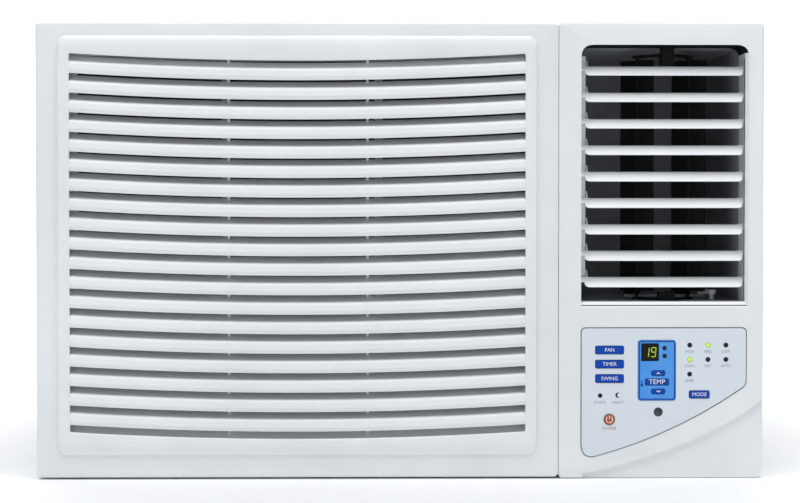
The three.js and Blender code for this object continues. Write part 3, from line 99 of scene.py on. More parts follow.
def surfaceMaterial(name, look):
    # a solid finish: slow mottling of the colour, a roughness that wanders, and a fine relief
    # scales are periods in metres, so a noise of scale 1/period repeats once per period
    values = {"Metallic": look.get("metallic", 0.0)}
    if "ior" in look:
        values["IOR"] = look["ior"]
    if "specular" in look:
        values["Specular IOR Level"] = look["specular"]
    if "coat" in look:
        values["Coat Weight"] = look["coat"]
        values["Coat Roughness"] = 0.12
    material, tree, shader, place = startMaterial(name, values)
    if "stretch" in look:
        place = addNode(tree, "ShaderNodeMapping", values={"Scale": look["stretch"]},
                        links={"Vector": place}).outputs["Vector"]
    mottle = addNode(tree, "ShaderNodeTexNoise", values={
        "Scale": 1 / look["mottle"], "Detail": 3.0, "Roughness": 0.55}, links={"Vector": place})
    ramp = addNode(tree, "ShaderNodeValToRGB", links={"Fac": mottle.outputs["Fac"]})
    ramp.color_ramp.elements[0].position = 0.32
    ramp.color_ramp.elements[0].color = hexLinear(look["dark"])
    ramp.color_ramp.elements[1].position = 0.68
    ramp.color_ramp.elements[1].color = hexLinear(look["light"])
    tree.links.new(ramp.outputs["Color"], shader.inputs["Base Color"])
    low, high = look["roughness"]
    rough = addNode(tree, "ShaderNodeMapRange", values={
        "From Min": 0.3, "From Max": 0.7, "To Min": low, "To Max": high},
        links={"Value": mottle.outputs["Fac"]})
    tree.links.new(rough.outputs["Result"], shader.inputs["Roughness"])
    grain = addNode(tree, look.get("pattern", "ShaderNodeTexNoise"), values={
        "Scale": 1 / look["grain"]}, links={"Vector": place})
    height = grain.outputs["Distance" if "pattern" in look else "Fac"]
    bump = addNode(tree, "ShaderNodeBump", values={
        "Strength": look["relief"], "Distance": look.get("depth", 0.00004)}, links={"Height": height})
    tree.links.new(bump.outputs["Normal"], shader.inputs["Normal"])
    return material


finishes = {
    # moulded white ABS: cool white, low sheen, a spark-eroded grain that breaks up the highlight
    "whiteAbs": {"dark": "#e6eaed", "light": "#edf0f2", "roughness": (0.34, 0.42), "ior": 1.5,
                 "mottle": 0.09, "grain": 0.0009, "relief": 0.16},
    # pale polyester overlay: slightly blue, smoother than the moulding round it
    "overlayFilm": {"dark": "#dbe4ec", "light": "#dfe7ef", "roughness": (0.3, 0.34), "ior": 1.52,
                    "mottle": 0.15, "grain": 0.0012, "relief": 0.06},
    # light blue ABS of the display module
    "moduleAbs": {"dark": "#4a96e8", "light": "#56a0ee", "roughness": (0.34, 0.4), "ior": 1.5,
                  "mottle": 0.02, "grain": 0.0006, "relief": 0.08, "specular": 0.3},
    # dark blue ABS keys, satin
    "blueAbs": {"dark": "#0443a8", "light": "#0748b2", "roughness": (0.36, 0.44), "ior": 1.5,
                "mottle": 0.012, "grain": 0.0005, "relief": 0.12, "specular": 0.2},
    # muted brown-red ABS of the power key
    "orangeAbs": {"dark": "#a05a45", "light": "#ab6650", "roughness": (0.36, 0.44), "ior": 1.5,
                  "mottle": 0.008, "grain": 0.0005, "relief": 0.1, "specular": 0.3},
    # dark filter glass of the receiver: blue-black, satin
    "filterGlass": {"dark": "#26323a", "light": "#2d3a43", "roughness": (0.2, 0.3), "ior": 1.52,
                    "mottle": 0.004, "grain": 0.0005, "relief": 0.05},
    # smoked polycarbonate: near black, a soft shine
    "smokedPc": {"dark": "#0c0f0c", "light": "#141814", "roughness": (0.16, 0.24), "ior": 1.585,
                 "mottle": 0.01, "grain": 0.0006, "relief": 0.03, "specular": 0.15},
    # frosted light guide, dull olive while its lamps are off
    "frostedGuide": {"dark": "#4b5148", "light": "#5d6459", "roughness": (0.35, 0.45), "ior": 1.49,
                     "mottle": 0.004, "grain": 0.0004, "relief": 0.1},
    # black polypropylene of the vanes and fans: satin, faint flow marks; also used as painted shade on the
    # outlet passage's ceiling
    "blackPpAndCeilingShade": {"dark": "#060707", "light": "#0c0d0e", "roughness": (0.5, 0.62), "ior": 1.49,
                "mottle": 0.03, "grain": 0.0007, "relief": 0.18, "specular": 0.2},
    # grey duct lining, matt with a coarse skin; little light reaches it, so it looks dark
    "ductLining": {"dark": "#8d9296", "light": "#9ba0a4", "roughness": (0.6, 0.8), "ior": 1.5,
                   "mottle": 0.025, "grain": 0.0016, "relief": 0.35},
    # mid-grey acetal of bars and rods: waxy, even
    "greyAcetal": {"dark": "#979c9f", "light": "#a6abae", "roughness": (0.42, 0.52), "ior": 1.48,
                   "mottle": 0.02, "grain": 0.0006, "relief": 0.12},
    # white expanded polystyrene: packed beads of about 3 mm
    "beadFoam": {"dark": "#d7dad8", "light": "#e6e8e6", "roughness": (0.8, 0.92), "ior": 1.5,
                 "mottle": 0.02, "grain": 0.003, "relief": 0.5, "pattern": "ShaderNodeTexVoronoi",
                 "depth": 0.0003},
    # green solder-resist board
    "solderResist": {"dark": "#17492d", "light": "#216039", "roughness": (0.25, 0.4), "ior": 1.5,
                     "mottle": 0.006, "grain": 0.0012, "relief": 0.2},
    # pale grey powder coat on sheet steel: orange peel of about 2 mm
    "powderCoat": {"dark": "#bcc0bf", "light": "#c6cac8", "roughness": (0.38, 0.5), "ior": 1.5,
                   "mottle": 0.12, "grain": 0.002, "relief": 0.3, "depth": 0.00008},
    # black enamel on the compressor and the motor: deep, slightly uneven gloss
    "blackEnamel": {"dark": "#0e0f10", "light": "#1a1b1d", "roughness": (0.22, 0.4), "ior": 1.5,
                    "mottle": 0.03, "grain": 0.0018, "relief": 0.22, "coat": 0.4},
    # galvanised sheet: spangle of about 9 mm, grey patches of different brightness
    "galvanised": {"dark": "#8f9498", "light": "#b4b9bc", "roughness": (0.32, 0.5), "metallic": 1.0,
                   "mottle": 0.009, "grain": 0.009, "relief": 0.15, "pattern": "ShaderNodeTexVoronoi"},
    # bare copper tube, drawn: dull orange with darker tarnish along it
    "drawnCopper": {"dark": "#8c4a2c", "light": "#c17a52", "roughness": (0.28, 0.5), "metallic": 1.0,
                    "mottle": 0.018, "grain": 0.001, "relief": 0.12},
    # spun aluminium can
    "spunAluminium": {"dark": "#b4b8bb", "light": "#c9cdd0", "roughness": (0.25, 0.38),
                      "metallic": 1.0, "mottle": 0.02, "grain": 0.0008, "relief": 0.15,
                      "stretch": (0.2, 0.2, 4.0)},
    # black moulded rubber, dusty matt
    "blackRubber": {"dark": "#141414", "light": "#202020", "roughness": (0.7, 0.85), "ior": 1.52,
                    "mottle": 0.01, "grain": 0.0009, "relief": 0.25},
}
made = {name: surfaceMaterial(name, look) for name, look in finishes.items()}


def bandScale(pitch):
    # a wave texture of scale 1 has bands 2*pi/20 m apart
    return 2 * math.pi / 20 / pitch


def stripedMaterial(name, look):
    # even ridges along one axis, such as pressed fins: bright crests, and dark gaps painted as the shade
    # between them
    material, tree, shader, place = startMaterial(name, {
        "Metallic": look["metallic"], "Roughness": look["roughness"]})
    wave = addNode(tree, "ShaderNodeTexWave", {
        "wave_type": "BANDS", "bands_direction": look["direction"], "wave_profile": "SIN"},
        {"Scale": bandScale(look["pitch"]), "Distortion": look["wander"], "Detail": 1.0,
         "Detail Scale": 0.6}, {"Vector": place})
    ramp = addNode(tree, "ShaderNodeValToRGB", links={"Fac": wave.outputs["Fac"]})
    ramp.color_ramp.elements[0].position = 0.15
    ramp.color_ramp.elements[0].color = hexLinear(look["dark"])
    ramp.color_ramp.elements[1].position = 0.75
    ramp.color_ramp.elements[1].color = hexLinear(look["light"])
    dust = addNode(tree, "ShaderNodeTexNoise", values={"Scale": 40.0, "Detail": 4.0},
                   links={"Vector": place})
    tint = addNode(tree, "ShaderNodeMix", {"data_type": "RGBA", "blend_type": "MULTIPLY"},
                   {"Factor": 0.35})
    tree.links.new(ramp.outputs["Color"], tint.inputs[6])
    tree.links.new(dust.outputs["Color"], tint.inputs[7])
    tree.links.new(tint.outputs[2], shader.inputs["Base Color"])
    bump = addNode(tree, "ShaderNodeBump", values={"Strength": 0.6, "Distance": 0.0004},
                   links={"Height": wave.outputs["Fac"]})
    tree.links.new(bump.outputs["Normal"], shader.inputs["Normal"])
    return material


# pressed aluminium fin stock, with painted shade in the gaps between the fins; real fins stand 1.6 mm apart,
# drawn at 2.4 mm so that they show
made["finStock"] = stripedMaterial("finStock", {
    "metallic": 0.9, "roughness": 0.42, "direction": "X", "pitch": 0.0024, "wander": 0.05,
    "dark": "#3b3f42", "light": "#b9bdc0"})


def netMaterial(name, look):
    # woven net: threads both ways about dark gaps
    material, tree, shader, place = startMaterial(name, {"Roughness": 0.75})
    waves = []
    for direction in ("X", "Z"):
        waves.append(addNode(tree, "ShaderNodeTexWave", {
            "wave_type": "BANDS", "bands_direction": direction, "wave_profile": "SIN"},
            {"Scale": bandScale(look["pitch"]), "Distortion": 0.0}, {"Vector": place}).outputs["Fac"])
    weave = addNode(tree, "ShaderNodeMath", {"operation": "MAXIMUM"})
    tree.links.new(waves[0], weave.inputs[0])
    tree.links.new(waves[1], weave.inputs[1])
    ramp = addNode(tree, "ShaderNodeValToRGB", links={"Fac": weave.outputs["Value"]})
    ramp.color_ramp.elements[0].position = 0.55
    ramp.color_ramp.elements[0].color = hexLinear(look["gap"])
    ramp.color_ramp.elements[1].position = 0.85
    ramp.color_ramp.elements[1].color = hexLinear(look["thread"])
    tree.links.new(ramp.outputs["Color"], shader.inputs["Base Color"])
    bump = addNode(tree, "ShaderNodeBump", values={"Strength": 0.5, "Distance": 0.0003},
                   links={"Height": weave.outputs["Value"]})
    tree.links.new(bump.outputs["Normal"], shader.inputs["Normal"])
    return material


# polypropylene filter net; the real mesh is about 1 mm, drawn at 1.8 mm so that it shows
made["filterNet"] = netMaterial("filterNet", {"pitch": 0.0018, "gap": "#08090a", "thread": "#2b2e31"})


def inkMaterial(name, hexText, glow=0.0):
    # printed ink, a painted shade line or painted highlight, or a lit lamp: even colour with the faintest
    # mottling, a little light of its own if lit
    material, tree, shader, place = startMaterial(name, {"Roughness": 0.45, "Specular IOR Level": 0.2})
    noise = addNode(tree, "ShaderNodeTexNoise", values={"Scale": 900.0}, links={"Vector": place})
    shade = addNode(tree, "ShaderNodeMapRange", values={"To Min": 0.88, "To Max": 1.0},
                    links={"Value": noise.outputs["Fac"]})
    tint = addNode(tree, "ShaderNodeMix", {"data_type": "RGBA", "blend_type": "MULTIPLY"},
                   {"Factor": 1.0})
    tint.inputs[6].default_value = hexLinear(hexText)
    tree.links.new(shade.outputs["Result"], tint.inputs[7])
    tree.links.new(tint.outputs[2], shader.inputs["Base Color"])
    if glow:
        shader.inputs["Emission Color"].default_value = hexLinear(hexText)
        shader.inputs["Emission Strength"].default_value = glow
    return material


# each ink: its colour, and how strongly it glows; the grey line colour is painted shade, and the white one
# serves both print and a painted highlight
inks = {
    "whiteInkAndHighlight": ("#f4f6f8", 0.0), "greyInk": ("#8d949f", 0.0), "blueInk": ("#0c45a2", 0.0),
    "brownInk": ("#b98f80", 0.0), "peachInk": ("#f4cbb9", 0.0), "darkInk": ("#1d2a33", 0.0),
    "paintedShadeLine": ("#6a747d", 0.0), "segmentGreen": ("#a9bf33", 0.35), "lampGreen": ("#a9d33f", 0.7),
    "lampOff": ("#1c282f", 0.0),
}
for inkName, (inkHex, inkGlow) in inks.items():
    made[inkName] = inkMaterial(inkName, inkHex, inkGlow)

slotFinish = {
    "white_moulding": "whiteAbs", "fascia": "overlayFilm", "module": "moduleAbs", "blue_key": "blueAbs",
    "orange_key": "orangeAbs", "smoked_lens": "smokedPc", "light_guide": "frostedGuide",
    "black_plastic": "blackPpAndCeilingShade", "duct_plastic": "ductLining", "grey_plastic": "greyAcetal",
    "white_foam": "beadFoam", "filter_net": "filterNet", "circuit_board": "solderResist",
    "painted_steel": "powderCoat", "black_steel": "blackEnamel", "zinc_steel": "galvanised",
    "fin_aluminium": "finStock", "copper": "drawnCopper", "rubber": "blackRubber",
}
otherFinish = {"run_capacitor": "spunAluminium", "ir_lens": "filterGlass", "louvre_link": "whiteAbs"}
nodeSlot = {row["node"]: row["material_slot"] for row in frame["record"]["subparts"]}
for nodeName, node in nodes.items():
    finish = made[slotFinish[nodeSlot[nodeName]]]
    if nodeName in otherFinish:
        finish = made[otherFinish[nodeName]]
    if not node.material_slots:
        node.data.materials.append(finish)
    for materialSlot in node.material_slots:
        materialSlot.material = finish
print("materials made:", len(made))


# mesh helpers

def addPiece(name, mesh, body, material, replaced=()):
    # one visible piece on its body, with its material and the CAD nodes it stands for
    mesh.materials.clear()
    mesh.materials.append(made[material])
    piece = bpy.data.objects.new(name, mesh)
    bpy.context.scene.collection.objects.link(piece)
    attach(piece, body)
    if replaced:
        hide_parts(*replaced)
    return piece


def gridMesh(name, grids, wrapU=False, wrapV=True, capEnds=True, sharpAngle=32):
    # each grid is an array of points (along, around, 3) in mm; quads join neighbours,
    # wrap closes a direction on itself, and the two open ends are closed with one face each
    vertices, faces, base = [], [], 0
    for grid in grids:
        nu, nv = grid.shape[:2]
        index = np.arange(nu * nv).reshape(nu, nv) + base
        a = index if wrapU else index[:-1]
        b = np.roll(index, -1, axis=0) if wrapU else index[1:]
        if wrapV:
            quads = np.stack([a, np.roll(a, -1, axis=1), np.roll(b, -1, axis=1), b], axis=-1)
        else:
            quads = np.stack([a[:, :-1], a[:, 1:], b[:, 1:], b[:, :-1]], axis=-1)
        faces.extend(quads.reshape(-1, 4).tolist())
        if capEnds and not wrapU:
            faces.append(index[0][::-1].tolist())
            faces.append(index[-1].tolist())
        vertices.append(grid.reshape(-1, 3))
        base += nu * nv
    mesh = bpy.data.meshes.new(name)
    mesh.from_pydata((np.concatenate(vertices) * mm).tolist(), [], faces)
    shell = bmesh.new()
    shell.from_mesh(mesh)
    bmesh.ops.recalc_face_normals(shell, faces=shell.faces)
    shell.to_mesh(mesh)
    shell.free()
    mesh.shade_smooth()
    mesh.set_sharp_from_angle(angle=math.radians(sharpAngle))
    return mesh


def softCopy(nodeName, body, width, segments=3, limit=34):
    # the CAD piece with its loose triangles merged and its corners rounded by the given width
    mesh = nodes[nodeName].data.copy()
    shell = bmesh.new()
    shell.from_mesh(mesh)
    bmesh.ops.remove_doubles(shell, verts=shell.verts, dist=2e-6)
    bmesh.ops.dissolve_limit(shell, angle_limit=math.radians(0.3), verts=shell.verts, edges=shell.edges)
    shell.to_mesh(mesh)
    shell.free()
    mesh.shade_smooth()
    mesh.set_sharp_from_angle(angle=math.radians(limit))
    slotName = nodeSlot[nodeName]
    piece = addPiece(nodeName + "_body", mesh, body, slotFinish[slotName], (nodeName,))
    bevel = piece.modifiers.new("edges", "BEVEL")
    bevel.width = width * mm
    bevel.segments = segments
    bevel.limit_method = "ANGLE"
    bevel.angle_limit = math.radians(limit)
    bevel.harden_normals = True
    return piece


def prism(outline, start, end, axis):
    # a closed outline of (u, v) carried straight from start to end along an axis
    outline = np.asarray(outline, float)
    u, v = outline[:, 0], outline[:, 1]
    rows = []
    for along in (start, end):
        flat = np.full_like(u, along)
        rows.append({"x": (flat, u, v), "y": (u, flat, v), "z": (u, v, flat)}[axis])
    return np.stack([np.stack(row, axis=-1) for row in rows])


def roundedOutline(x0, x1, z0, z1, radius, perCorner=9, perSide=24):
    # stations round a rectangle with round corners, starting at the left end of the lower side:
    # straight runs, then quarter circles, centre + radius * (cos, sin)
    corner = np.linspace(0, math.pi / 2, perCorner)
    straight = np.linspace(0, 1, perSide + 2)[1:-1]
    xs, zs = [], []
    centres = [(x1 - radius, z0 + radius), (x1 - radius, z1 - radius),
               (x0 + radius, z1 - radius), (x0 + radius, z0 + radius)]
    starts = [(x0 + radius, z0), (x1, z0 + radius), (x1 - radius, z1), (x0, z1 - radius)]
    ends = [(x1 - radius, z0), (x1, z1 - radius), (x0 + radius, z1), (x0, z0 + radius)]
    for side in range(4):
        (sx, sz), (ex, ez) = starts[side], ends[side]
        xs.append(sx + (ex - sx) * straight)
        zs.append(sz + (ez - sz) * straight)
        cx, cz = centres[side]
        turn = corner + (side - 1) * math.pi / 2
        xs.append(cx + radius * np.cos(turn))
        zs.append(cz + radius * np.sin(turn))
    return np.concatenate(xs), np.concatenate(zs)


# intake door

doorLow, doorHigh = (np.array(v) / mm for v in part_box("intake_grille"))
door = {
    "border": 4.0,          # height of the raised field
    "fieldSides": 17.9, "fieldTop": 11.4, "fieldBottom": 19.0, "fieldCorner": 8.0,
    "softTop": 9.0, "softSides": 1.4, "blend": 26.0,   # width of the rounded edge of the raised field
    "slotLeft": 28.2, "slotRight": 27.8, "slotTop": 26.3, "slotBottom": 38.4, "slotLip": 1.6,
    "slots": 20, "slotHeight": 5.85, "bow": 5.9, "openingSpread": 2.2, "slatEnd": 2.0, "finEnd": 1.5,
    "edge": 2.6, "corner": 4.0, "seamShare": 0.25, "skin": 2.5, "depth": 25.7,
}
frontY = doorLow[1]
doorX0, doorX1, doorZ0, doorZ1 = doorLow[0], doorHigh[0], doorLow[2], doorHigh[2]
slotX0, slotX1 = doorX0 + door["slotLeft"], doorX1 - door["slotRight"]
slotMidX = (slotX0 + slotX1) / 2
slotZ0, slotZ1 = doorZ0 + door["slotBottom"], doorZ1 - door["slotTop"]


def bowDown(x, z):
    # every level line hangs as a parabola: full depth in the middle, none at both ends
    along = (x - slotMidX) / ((slotX1 - slotX0) / 2)
    return z - door["bow"] * np.clip(1 - along ** 2, 0, 1)


def doorFrameRings():
    # closed rings in order: back of the opening, its rounded mouth, the raised field, its soft edge,
    # the border, the rounded outer edge, the side walls and the inner back
    rings = []

    def ring(x, z, y):
        rings.append(np.stack([x, np.full_like(x, y), z], axis=-1))

    def opening(out):
        # the slotted opening's outline, spread by a distance and bowed
        x, z = roundedOutline(slotX0 - out, slotX1 + out, slotZ0 - out, slotZ1 + out, 1.2 + out)
        return x, bowDown(x, z)

    def field(insetX, insetZ):
        # the raised field's outline, drawn in by two distances
        radius = max(door["fieldCorner"] - min(insetX, insetZ), 1.0)
        return roundedOutline(doorX0 + door["fieldSides"] + insetX, doorX1 - door["fieldSides"] - insetX,
                              doorZ0 + door["fieldBottom"] + insetZ, doorZ1 - door["fieldTop"] - insetZ,
                              radius)

    def outer(inset):
        # the side at the seam is nearly square, so that it closes tight against the fixed panel
        return roundedOutline(doorX0 + inset, doorX1 - inset * door["seamShare"], doorZ0 + inset,
                              doorZ1 - inset, max(door["corner"] - inset, 0.6))

    back = frontY + door["border"] + door["skin"]
    ring(*opening(door["openingSpread"]), back)
    lip = door["slotLip"]
    ring(*opening(0), frontY + lip)
    for step in np.linspace(0, math.pi / 2, 5)[1:]:
        ring(*opening(1.0 - math.cos(step)), frontY + lip - lip * math.sin(step))
    # quarter ellipse down from the flat of the field to the border; towards the top corners the
    # rounding of the sides widens to that of the top
    fieldTopZ = doorZ1 - door["fieldTop"]
    for step in np.linspace(0, math.pi / 2, 12):
        inward = 1 - math.sin(step)
        x, z = field(door["softSides"] * inward, door["softTop"] * inward)
        nearTop = np.clip((z - fieldTopZ + door["blend"]) / door["blend"], 0, 1) ** 2
        reach = (door["softTop"] - door["softSides"]) * inward * nearTop
        x = x + reach * np.sign(slotMidX - x) * np.clip(np.abs(x - slotMidX) / 20, 0, 1)
        ring(x, z, frontY + door["border"] * (1 - math.cos(step)))
    borderY = frontY + door["border"]
    ring(*field(-0.35, -0.35), borderY)
    for step in np.linspace(0, math.pi / 2, 7):
        ring(*outer(door["edge"] * (1 - math.sin(step))), borderY + door["edge"] * (1 - math.cos(step)))
    ring(*outer(0), frontY + door["depth"])
    ring(*outer(door["skin"]), frontY + door["depth"])
    ring(*outer(door["skin"]), back)
    ring(*opening(4.0), back)
    return np.stack(rings)


frameMesh = gridMesh("grilleFrame", [doorFrameRings()], wrapU=True, wrapV=True, sharpAngle=40)
addPiece("grilleFrame", frameMesh, "intake_door", "whiteAbs", ("intake_grille",))

slatPitch = (slotZ1 - slotZ0 - door["slotHeight"]) / (door["slots"] - 1)
slatLip = slatPitch - door["slotHeight"]


def slatProfile():
    # from the lower edge: chamfer, flat face, quarter-ellipse shoulder, then the fin up and back
    # the face leans back a little, so it takes more light from above than the flat border does
    shoulder = np.linspace(0.25, math.pi / 2, 10)
    points = [(1.35, 0.0), (1.1, 0.15), (0.25, 2.6), (0.04, 3.0), (0.05, 3.5)]
    points += [(0.4 + 3.0 * (1 - math.cos(a)), slatLip - 4.2 + 4.2 * math.sin(a)) for a in shoulder]
    points += [(7.5, slatLip + 2.2), (12.0, slatLip + 4.9), (12.4, slatLip + 4.7), (12.2, slatLip + 4.0),
               (3.4, slatLip - 2.2), (2.9, slatLip - 3.0), (2.8, 0.6), (2.4, 0.1)]
    return np.array(points)


def slatGrid(level):
    # the profile carried along x, and lowered by the bow at each station
    profile = slatProfile()
    x = np.linspace(slotX0 - door["slatEnd"], slotX1 + door["slatEnd"], 61)[:, None]
    y = frontY + 0.05 + profile[None, :, 0] + 0 * x
    z = bowDown(x, level + profile[None, :, 1])
    return np.stack([x + 0 * y, y, z], axis=-1)


slatLevels = slotZ0 + door["slotHeight"] + slatPitch * np.arange(door["slots"] - 1)


def lowestFin():
    # the fin behind the lowest slot: it starts under the slot and climbs to the rear as the slats do
    fin = np.array([(6.0, -1.6), (12.0, 4.9), (12.4, 4.7), (12.2, 4.0), (6.6, -2.4)])
    x = np.linspace(slotX0 - door["finEnd"], slotX1 + door["finEnd"], 61)[:, None]
    y = frontY + fin[None, :, 0] + 0 * x
    z = bowDown(x, slotZ0 + fin[None, :, 1])
    return np.stack([x + 0 * y, y, z], axis=-1)


slatGrids = [slatGrid(level) for level in slatLevels] + [lowestFin()]
slatMesh = gridMesh("grilleSlats", slatGrids, sharpAngle=38)
addPiece("grilleSlats", slatMesh, "intake_door", "whiteAbs")

# two upright ribs behind the slats, and two hinge ears with their pins
rib = {"half": 1.0, "share": 0.306, "front": 9.4, "rear": 14.0, "below": 9.0, "above": 4.0}
ribGrids = []
for side in (-1, 1):
    ribX = slotMidX + side * rib["share"] * (slotX1 - slotX0) / 2
    outline = [(ribX - rib["half"], frontY + rib["front"]), (ribX + rib["half"], frontY + rib["front"]),
               (ribX + rib["half"], frontY + rib["rear"]), (ribX - rib["half"], frontY + rib["rear"])]
    ribGrids.append(prism(outline, slotZ0 - rib["below"], slotZ1 + rib["above"], "z"))
hinge = {"y": frontY + 31.0, "z": doorZ1 - 7.0, "pin": 1.6, "half": 2.5, "pinOut": 3.0, "fromEnd": 40.0}
turn = np.linspace(0, 2 * math.pi, 21)[:-1]
for earX in (doorX0 + hinge["fromEnd"], doorX1 - hinge["fromEnd"]):
    ear = [(frontY + 8, doorZ1 - 1), (frontY + 8, hinge["z"] - 2), (hinge["y"] + 2, hinge["z"] - 2.6),
           (hinge["y"] + 2.6, hinge["z"]), (hinge["y"] + 1.5, hinge["z"] + 2.4),
           (frontY + 23.7, doorZ1 - 1)]
    ribGrids.append(prism(ear, earX - hinge["half"], earX + hinge["half"], "x"))
    pin = np.stack([hinge["y"] + hinge["pin"] * np.cos(turn), hinge["z"] + hinge["pin"] * np.sin(turn)], -1)
    pinHalf = hinge["half"] + hinge["pinOut"]
    ribGrids.append(prism(pin, earX - pinHalf, earX + pinHalf, "x"))
addPiece("grilleRibs", gridMesh("grilleRibs", ribGrids), "intake_door", "whiteAbs")
print("intake door made")


# louvres

louvre = {"tilt": 38.0, "chord": 12.0, "thick": 1.6, "camber": 0.55, "corner": 4.0, "neck": 5.6, "pin": 1.1,
          "crank": 9.0, "crankPin": 0.8, "count": 9, "leftRoom": 3.7, "rightRoom": 1.6, "toTab": 5.4}
jointPlace = {j["child"]: j for j in frame["record"]["behaviour"]["joints"]}
ductLow, ductHigh = (np.array(v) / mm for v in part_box("outlet_duct"))
ductWall = 2.0
outletX0, outletX1 = ductLow[0] + ductWall, ductHigh[0] - ductWall
outletZ0, outletZ1 = ductLow[2] + ductWall, ductHigh[2] - ductWall
bladeX0, bladeX1 = outletX0 + louvre["leftRoom"], outletX1 - louvre["rightRoom"]


def louvreGrids():
    # thin aerofoil with a short neck at both ends; past the neck the chord grows by a quarter
    # circle, cutBack = r - sqrt(r^2 - (r - distance)^2), and the thickness fades to the front
    edge = louvre["corner"]
    grow = edge * (1 - np.cos(np.linspace(0, math.pi / 2, 10)))
    x = np.concatenate([[outletX0 + 0.4, bladeX0 - 0.2], bladeX0 + grow, bladeX1 - grow[::-1],
                        [bladeX1 + 0.2, outletX1 - 0.4]])
    toEnd = np.minimum(x - bladeX0, bladeX1 - x)
    rounded = edge - np.sqrt(np.clip(edge ** 2 - (edge - np.clip(toEnd, 0, edge)) ** 2, 0, None))
    cutBack = np.where(toEnd < 0, louvre["chord"] - louvre["neck"], rounded)
    around = np.linspace(0, 2 * math.pi, 29)[:-1]
    share = (1 - np.cos(around)) / 2
    half = louvre["thick"] / 2 * (1 - 0.3 * share)
    up = np.sign(np.sin(around)) * np.abs(np.sin(around)) ** 0.35 * half
    chord = louvre["chord"] - cutBack[:, None]
    y = 0.8 - (chord + 0.8) * share[None, :]
    z = up[None, :] + louvre["camber"] * np.sin(math.pi * share)[None, :] + 0 * y
    blade = np.stack([x[:, None] + 0 * y, y, z], axis=-1)
    circle = np.stack([louvre["pin"] * np.cos(turn), louvre["pin"] * np.sin(turn)], -1)
    pins = [prism(circle, outletX0 - 1.4, bladeX0 + 3, "x"), prism(circle, bladeX1 - 3, outletX1 + 1.4, "x")]
    linkX1 = outletX0 + louvre["toTab"]
    tab = [(-1.0, -0.8), (louvre["crank"] + 0.6, -0.8), (louvre["crank"] + 1.2, -0.3),
           (louvre["crank"] + 1.2, 0.3), (louvre["crank"] + 0.6, 0.8), (-1.0, 0.8)]
    small = np.stack([louvre["crank"] + louvre["crankPin"] * np.cos(turn),
                      louvre["crankPin"] * np.sin(turn)], -1)
    return [blade] + pins + [prism(tab, linkX1 + 0.4, linkX1 + 1.6, "x"),
                             prism(small, linkX1 - 3.8, linkX1 + 1.2, "x")]


tilt = math.radians(louvre["tilt"])
tiltTurn = np.array([[1, 0, 0], [0, math.cos(tilt), -math.sin(tilt)], [0, math.sin(tilt), math.cos(tilt)]])
for number in range(1, louvre["count"] + 1):
    body = f"louvre_{number}"
    pivot = np.array(jointPlace[body]["pos_m"]) / mm
    pivot[0] = 0
    grids = [grid @ tiltTurn.T + pivot for grid in louvreGrids()]
    addPiece(f"louvreBlade_{number}", gridMesh(f"louvreBlade_{number}", grids), body, "whiteAbs",
             (body,))
print("louvres made")


# pieces that keep their CAD shape and get rounded edges

rounded = {
    "case": {"front_moulding": 0.7, "control_fascia": 0.25, "display_panel": 0.25, "cabinet": 0.4,
             "rear_guard": 0.5, "vane_mount_upper": 0.3, "vane_mount_lower": 0.3, "display_window": 0.2},
    "vane_left": {"vane_left": 0.3}, "vane_right": {"vane_right": 0.3},
    "swing_crank": {"swing_crank": 0.3}, "air_filter": {"filter_frame": 0.5},
    "key_fan": {"key_fan": 0.3}, "key_timer": {"key_timer": 0.3}, "key_swing": {"key_swing": 0.3},
    "key_mode": {"key_mode": 0.3}, "key_temp_up": {"key_temp_up": 0.25},
    "key_temp_down": {"key_temp_down": 0.25}, "key_power": {"key_power": 0.2},
}
for body, widths in rounded.items():
    for nodeName, width in widths.items():
        softCopy(nodeName, body, width)

# painted shade: behind the mouth, the downward-facing faces of the outlet passage's ceiling get the black
# plastic, standing for the shade under that ceiling
passage = bpy.data.objects["front_moulding_body"].data
passage.materials.append(made["blackPpAndCeilingShade"])
for face in passage.polygons:
    cx, cy, cz = np.array(face.center) / mm
    if (outletX0 - 1 < cx < outletX1 + 1 and cz > (outletZ0 + outletZ1) / 2 and cz < outletZ1 + 1
            and frontY + 4 < cy < frontY + 34 and face.normal.z < -0.25):
        face.material_index = 1
print("CAD pieces rounded")


# hex-washer screws along the lower edge and the front edge of the cabinet sides
screw = {"washer": 4.4, "washerThick": 0.4, "hex": 3.5, "lift": 1.2, "low": 14.0, "inset": 12.0,
         "heights": (130.0, 245.0, 356.0)}
cabLow, cabHigh = (np.array(v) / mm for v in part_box("cabinet"))
hexTurn = np.linspace(0, 2 * math.pi, 7)[:-1]


def screwGrids(y, z, sideX, out):
    # profile rings along x: flat washer with a rounded rim, then the six-sided head with a soft top
    grids = []
    rings = []
    rim, thick = screw["washer"], screw["washerThick"]
    for radius, rise in ((rim, -0.2), (rim, thick - 0.15), (rim - 0.3, thick), (rim - 1.2, thick + 0.02)):
        rings.append(np.stack([0 * turn + sideX + out * rise, y + radius * np.cos(turn),
                               z + radius * np.sin(turn)], -1))
    grids.append(np.stack(rings))
    rings = []
    for radius, rise in ((screw["hex"], 0.3), (screw["hex"], screw["lift"] - 0.2),
                         (screw["hex"] - 0.4, screw["lift"])):
        rings.append(np.stack([0 * hexTurn + sideX + out * rise, y + radius * np.cos(hexTurn),
                               z + radius * np.sin(hexTurn)], -1))
    grids.append(np.stack(rings))
    return grids


screwPlaces = [(y, screw["low"]) for y in np.linspace(cabLow[1] + 20, cabHigh[1] - 20, 5)]
screwPlaces += [(cabLow[1] + screw["inset"], z) for z in screw["heights"]]
screwPlaces += [(cabHigh[1] - screw["inset"], z) for z in screw["heights"]]
grids = []
for y, z in screwPlaces:
    grids += screwGrids(y, z, cabLow[0], -1) + screwGrids(y, z, cabHigh[0], 1)
addPiece("cabinetScrews", gridMesh("cabinetScrews", grids), "case", "galvanised")
print("screws made")


# lettering and marks

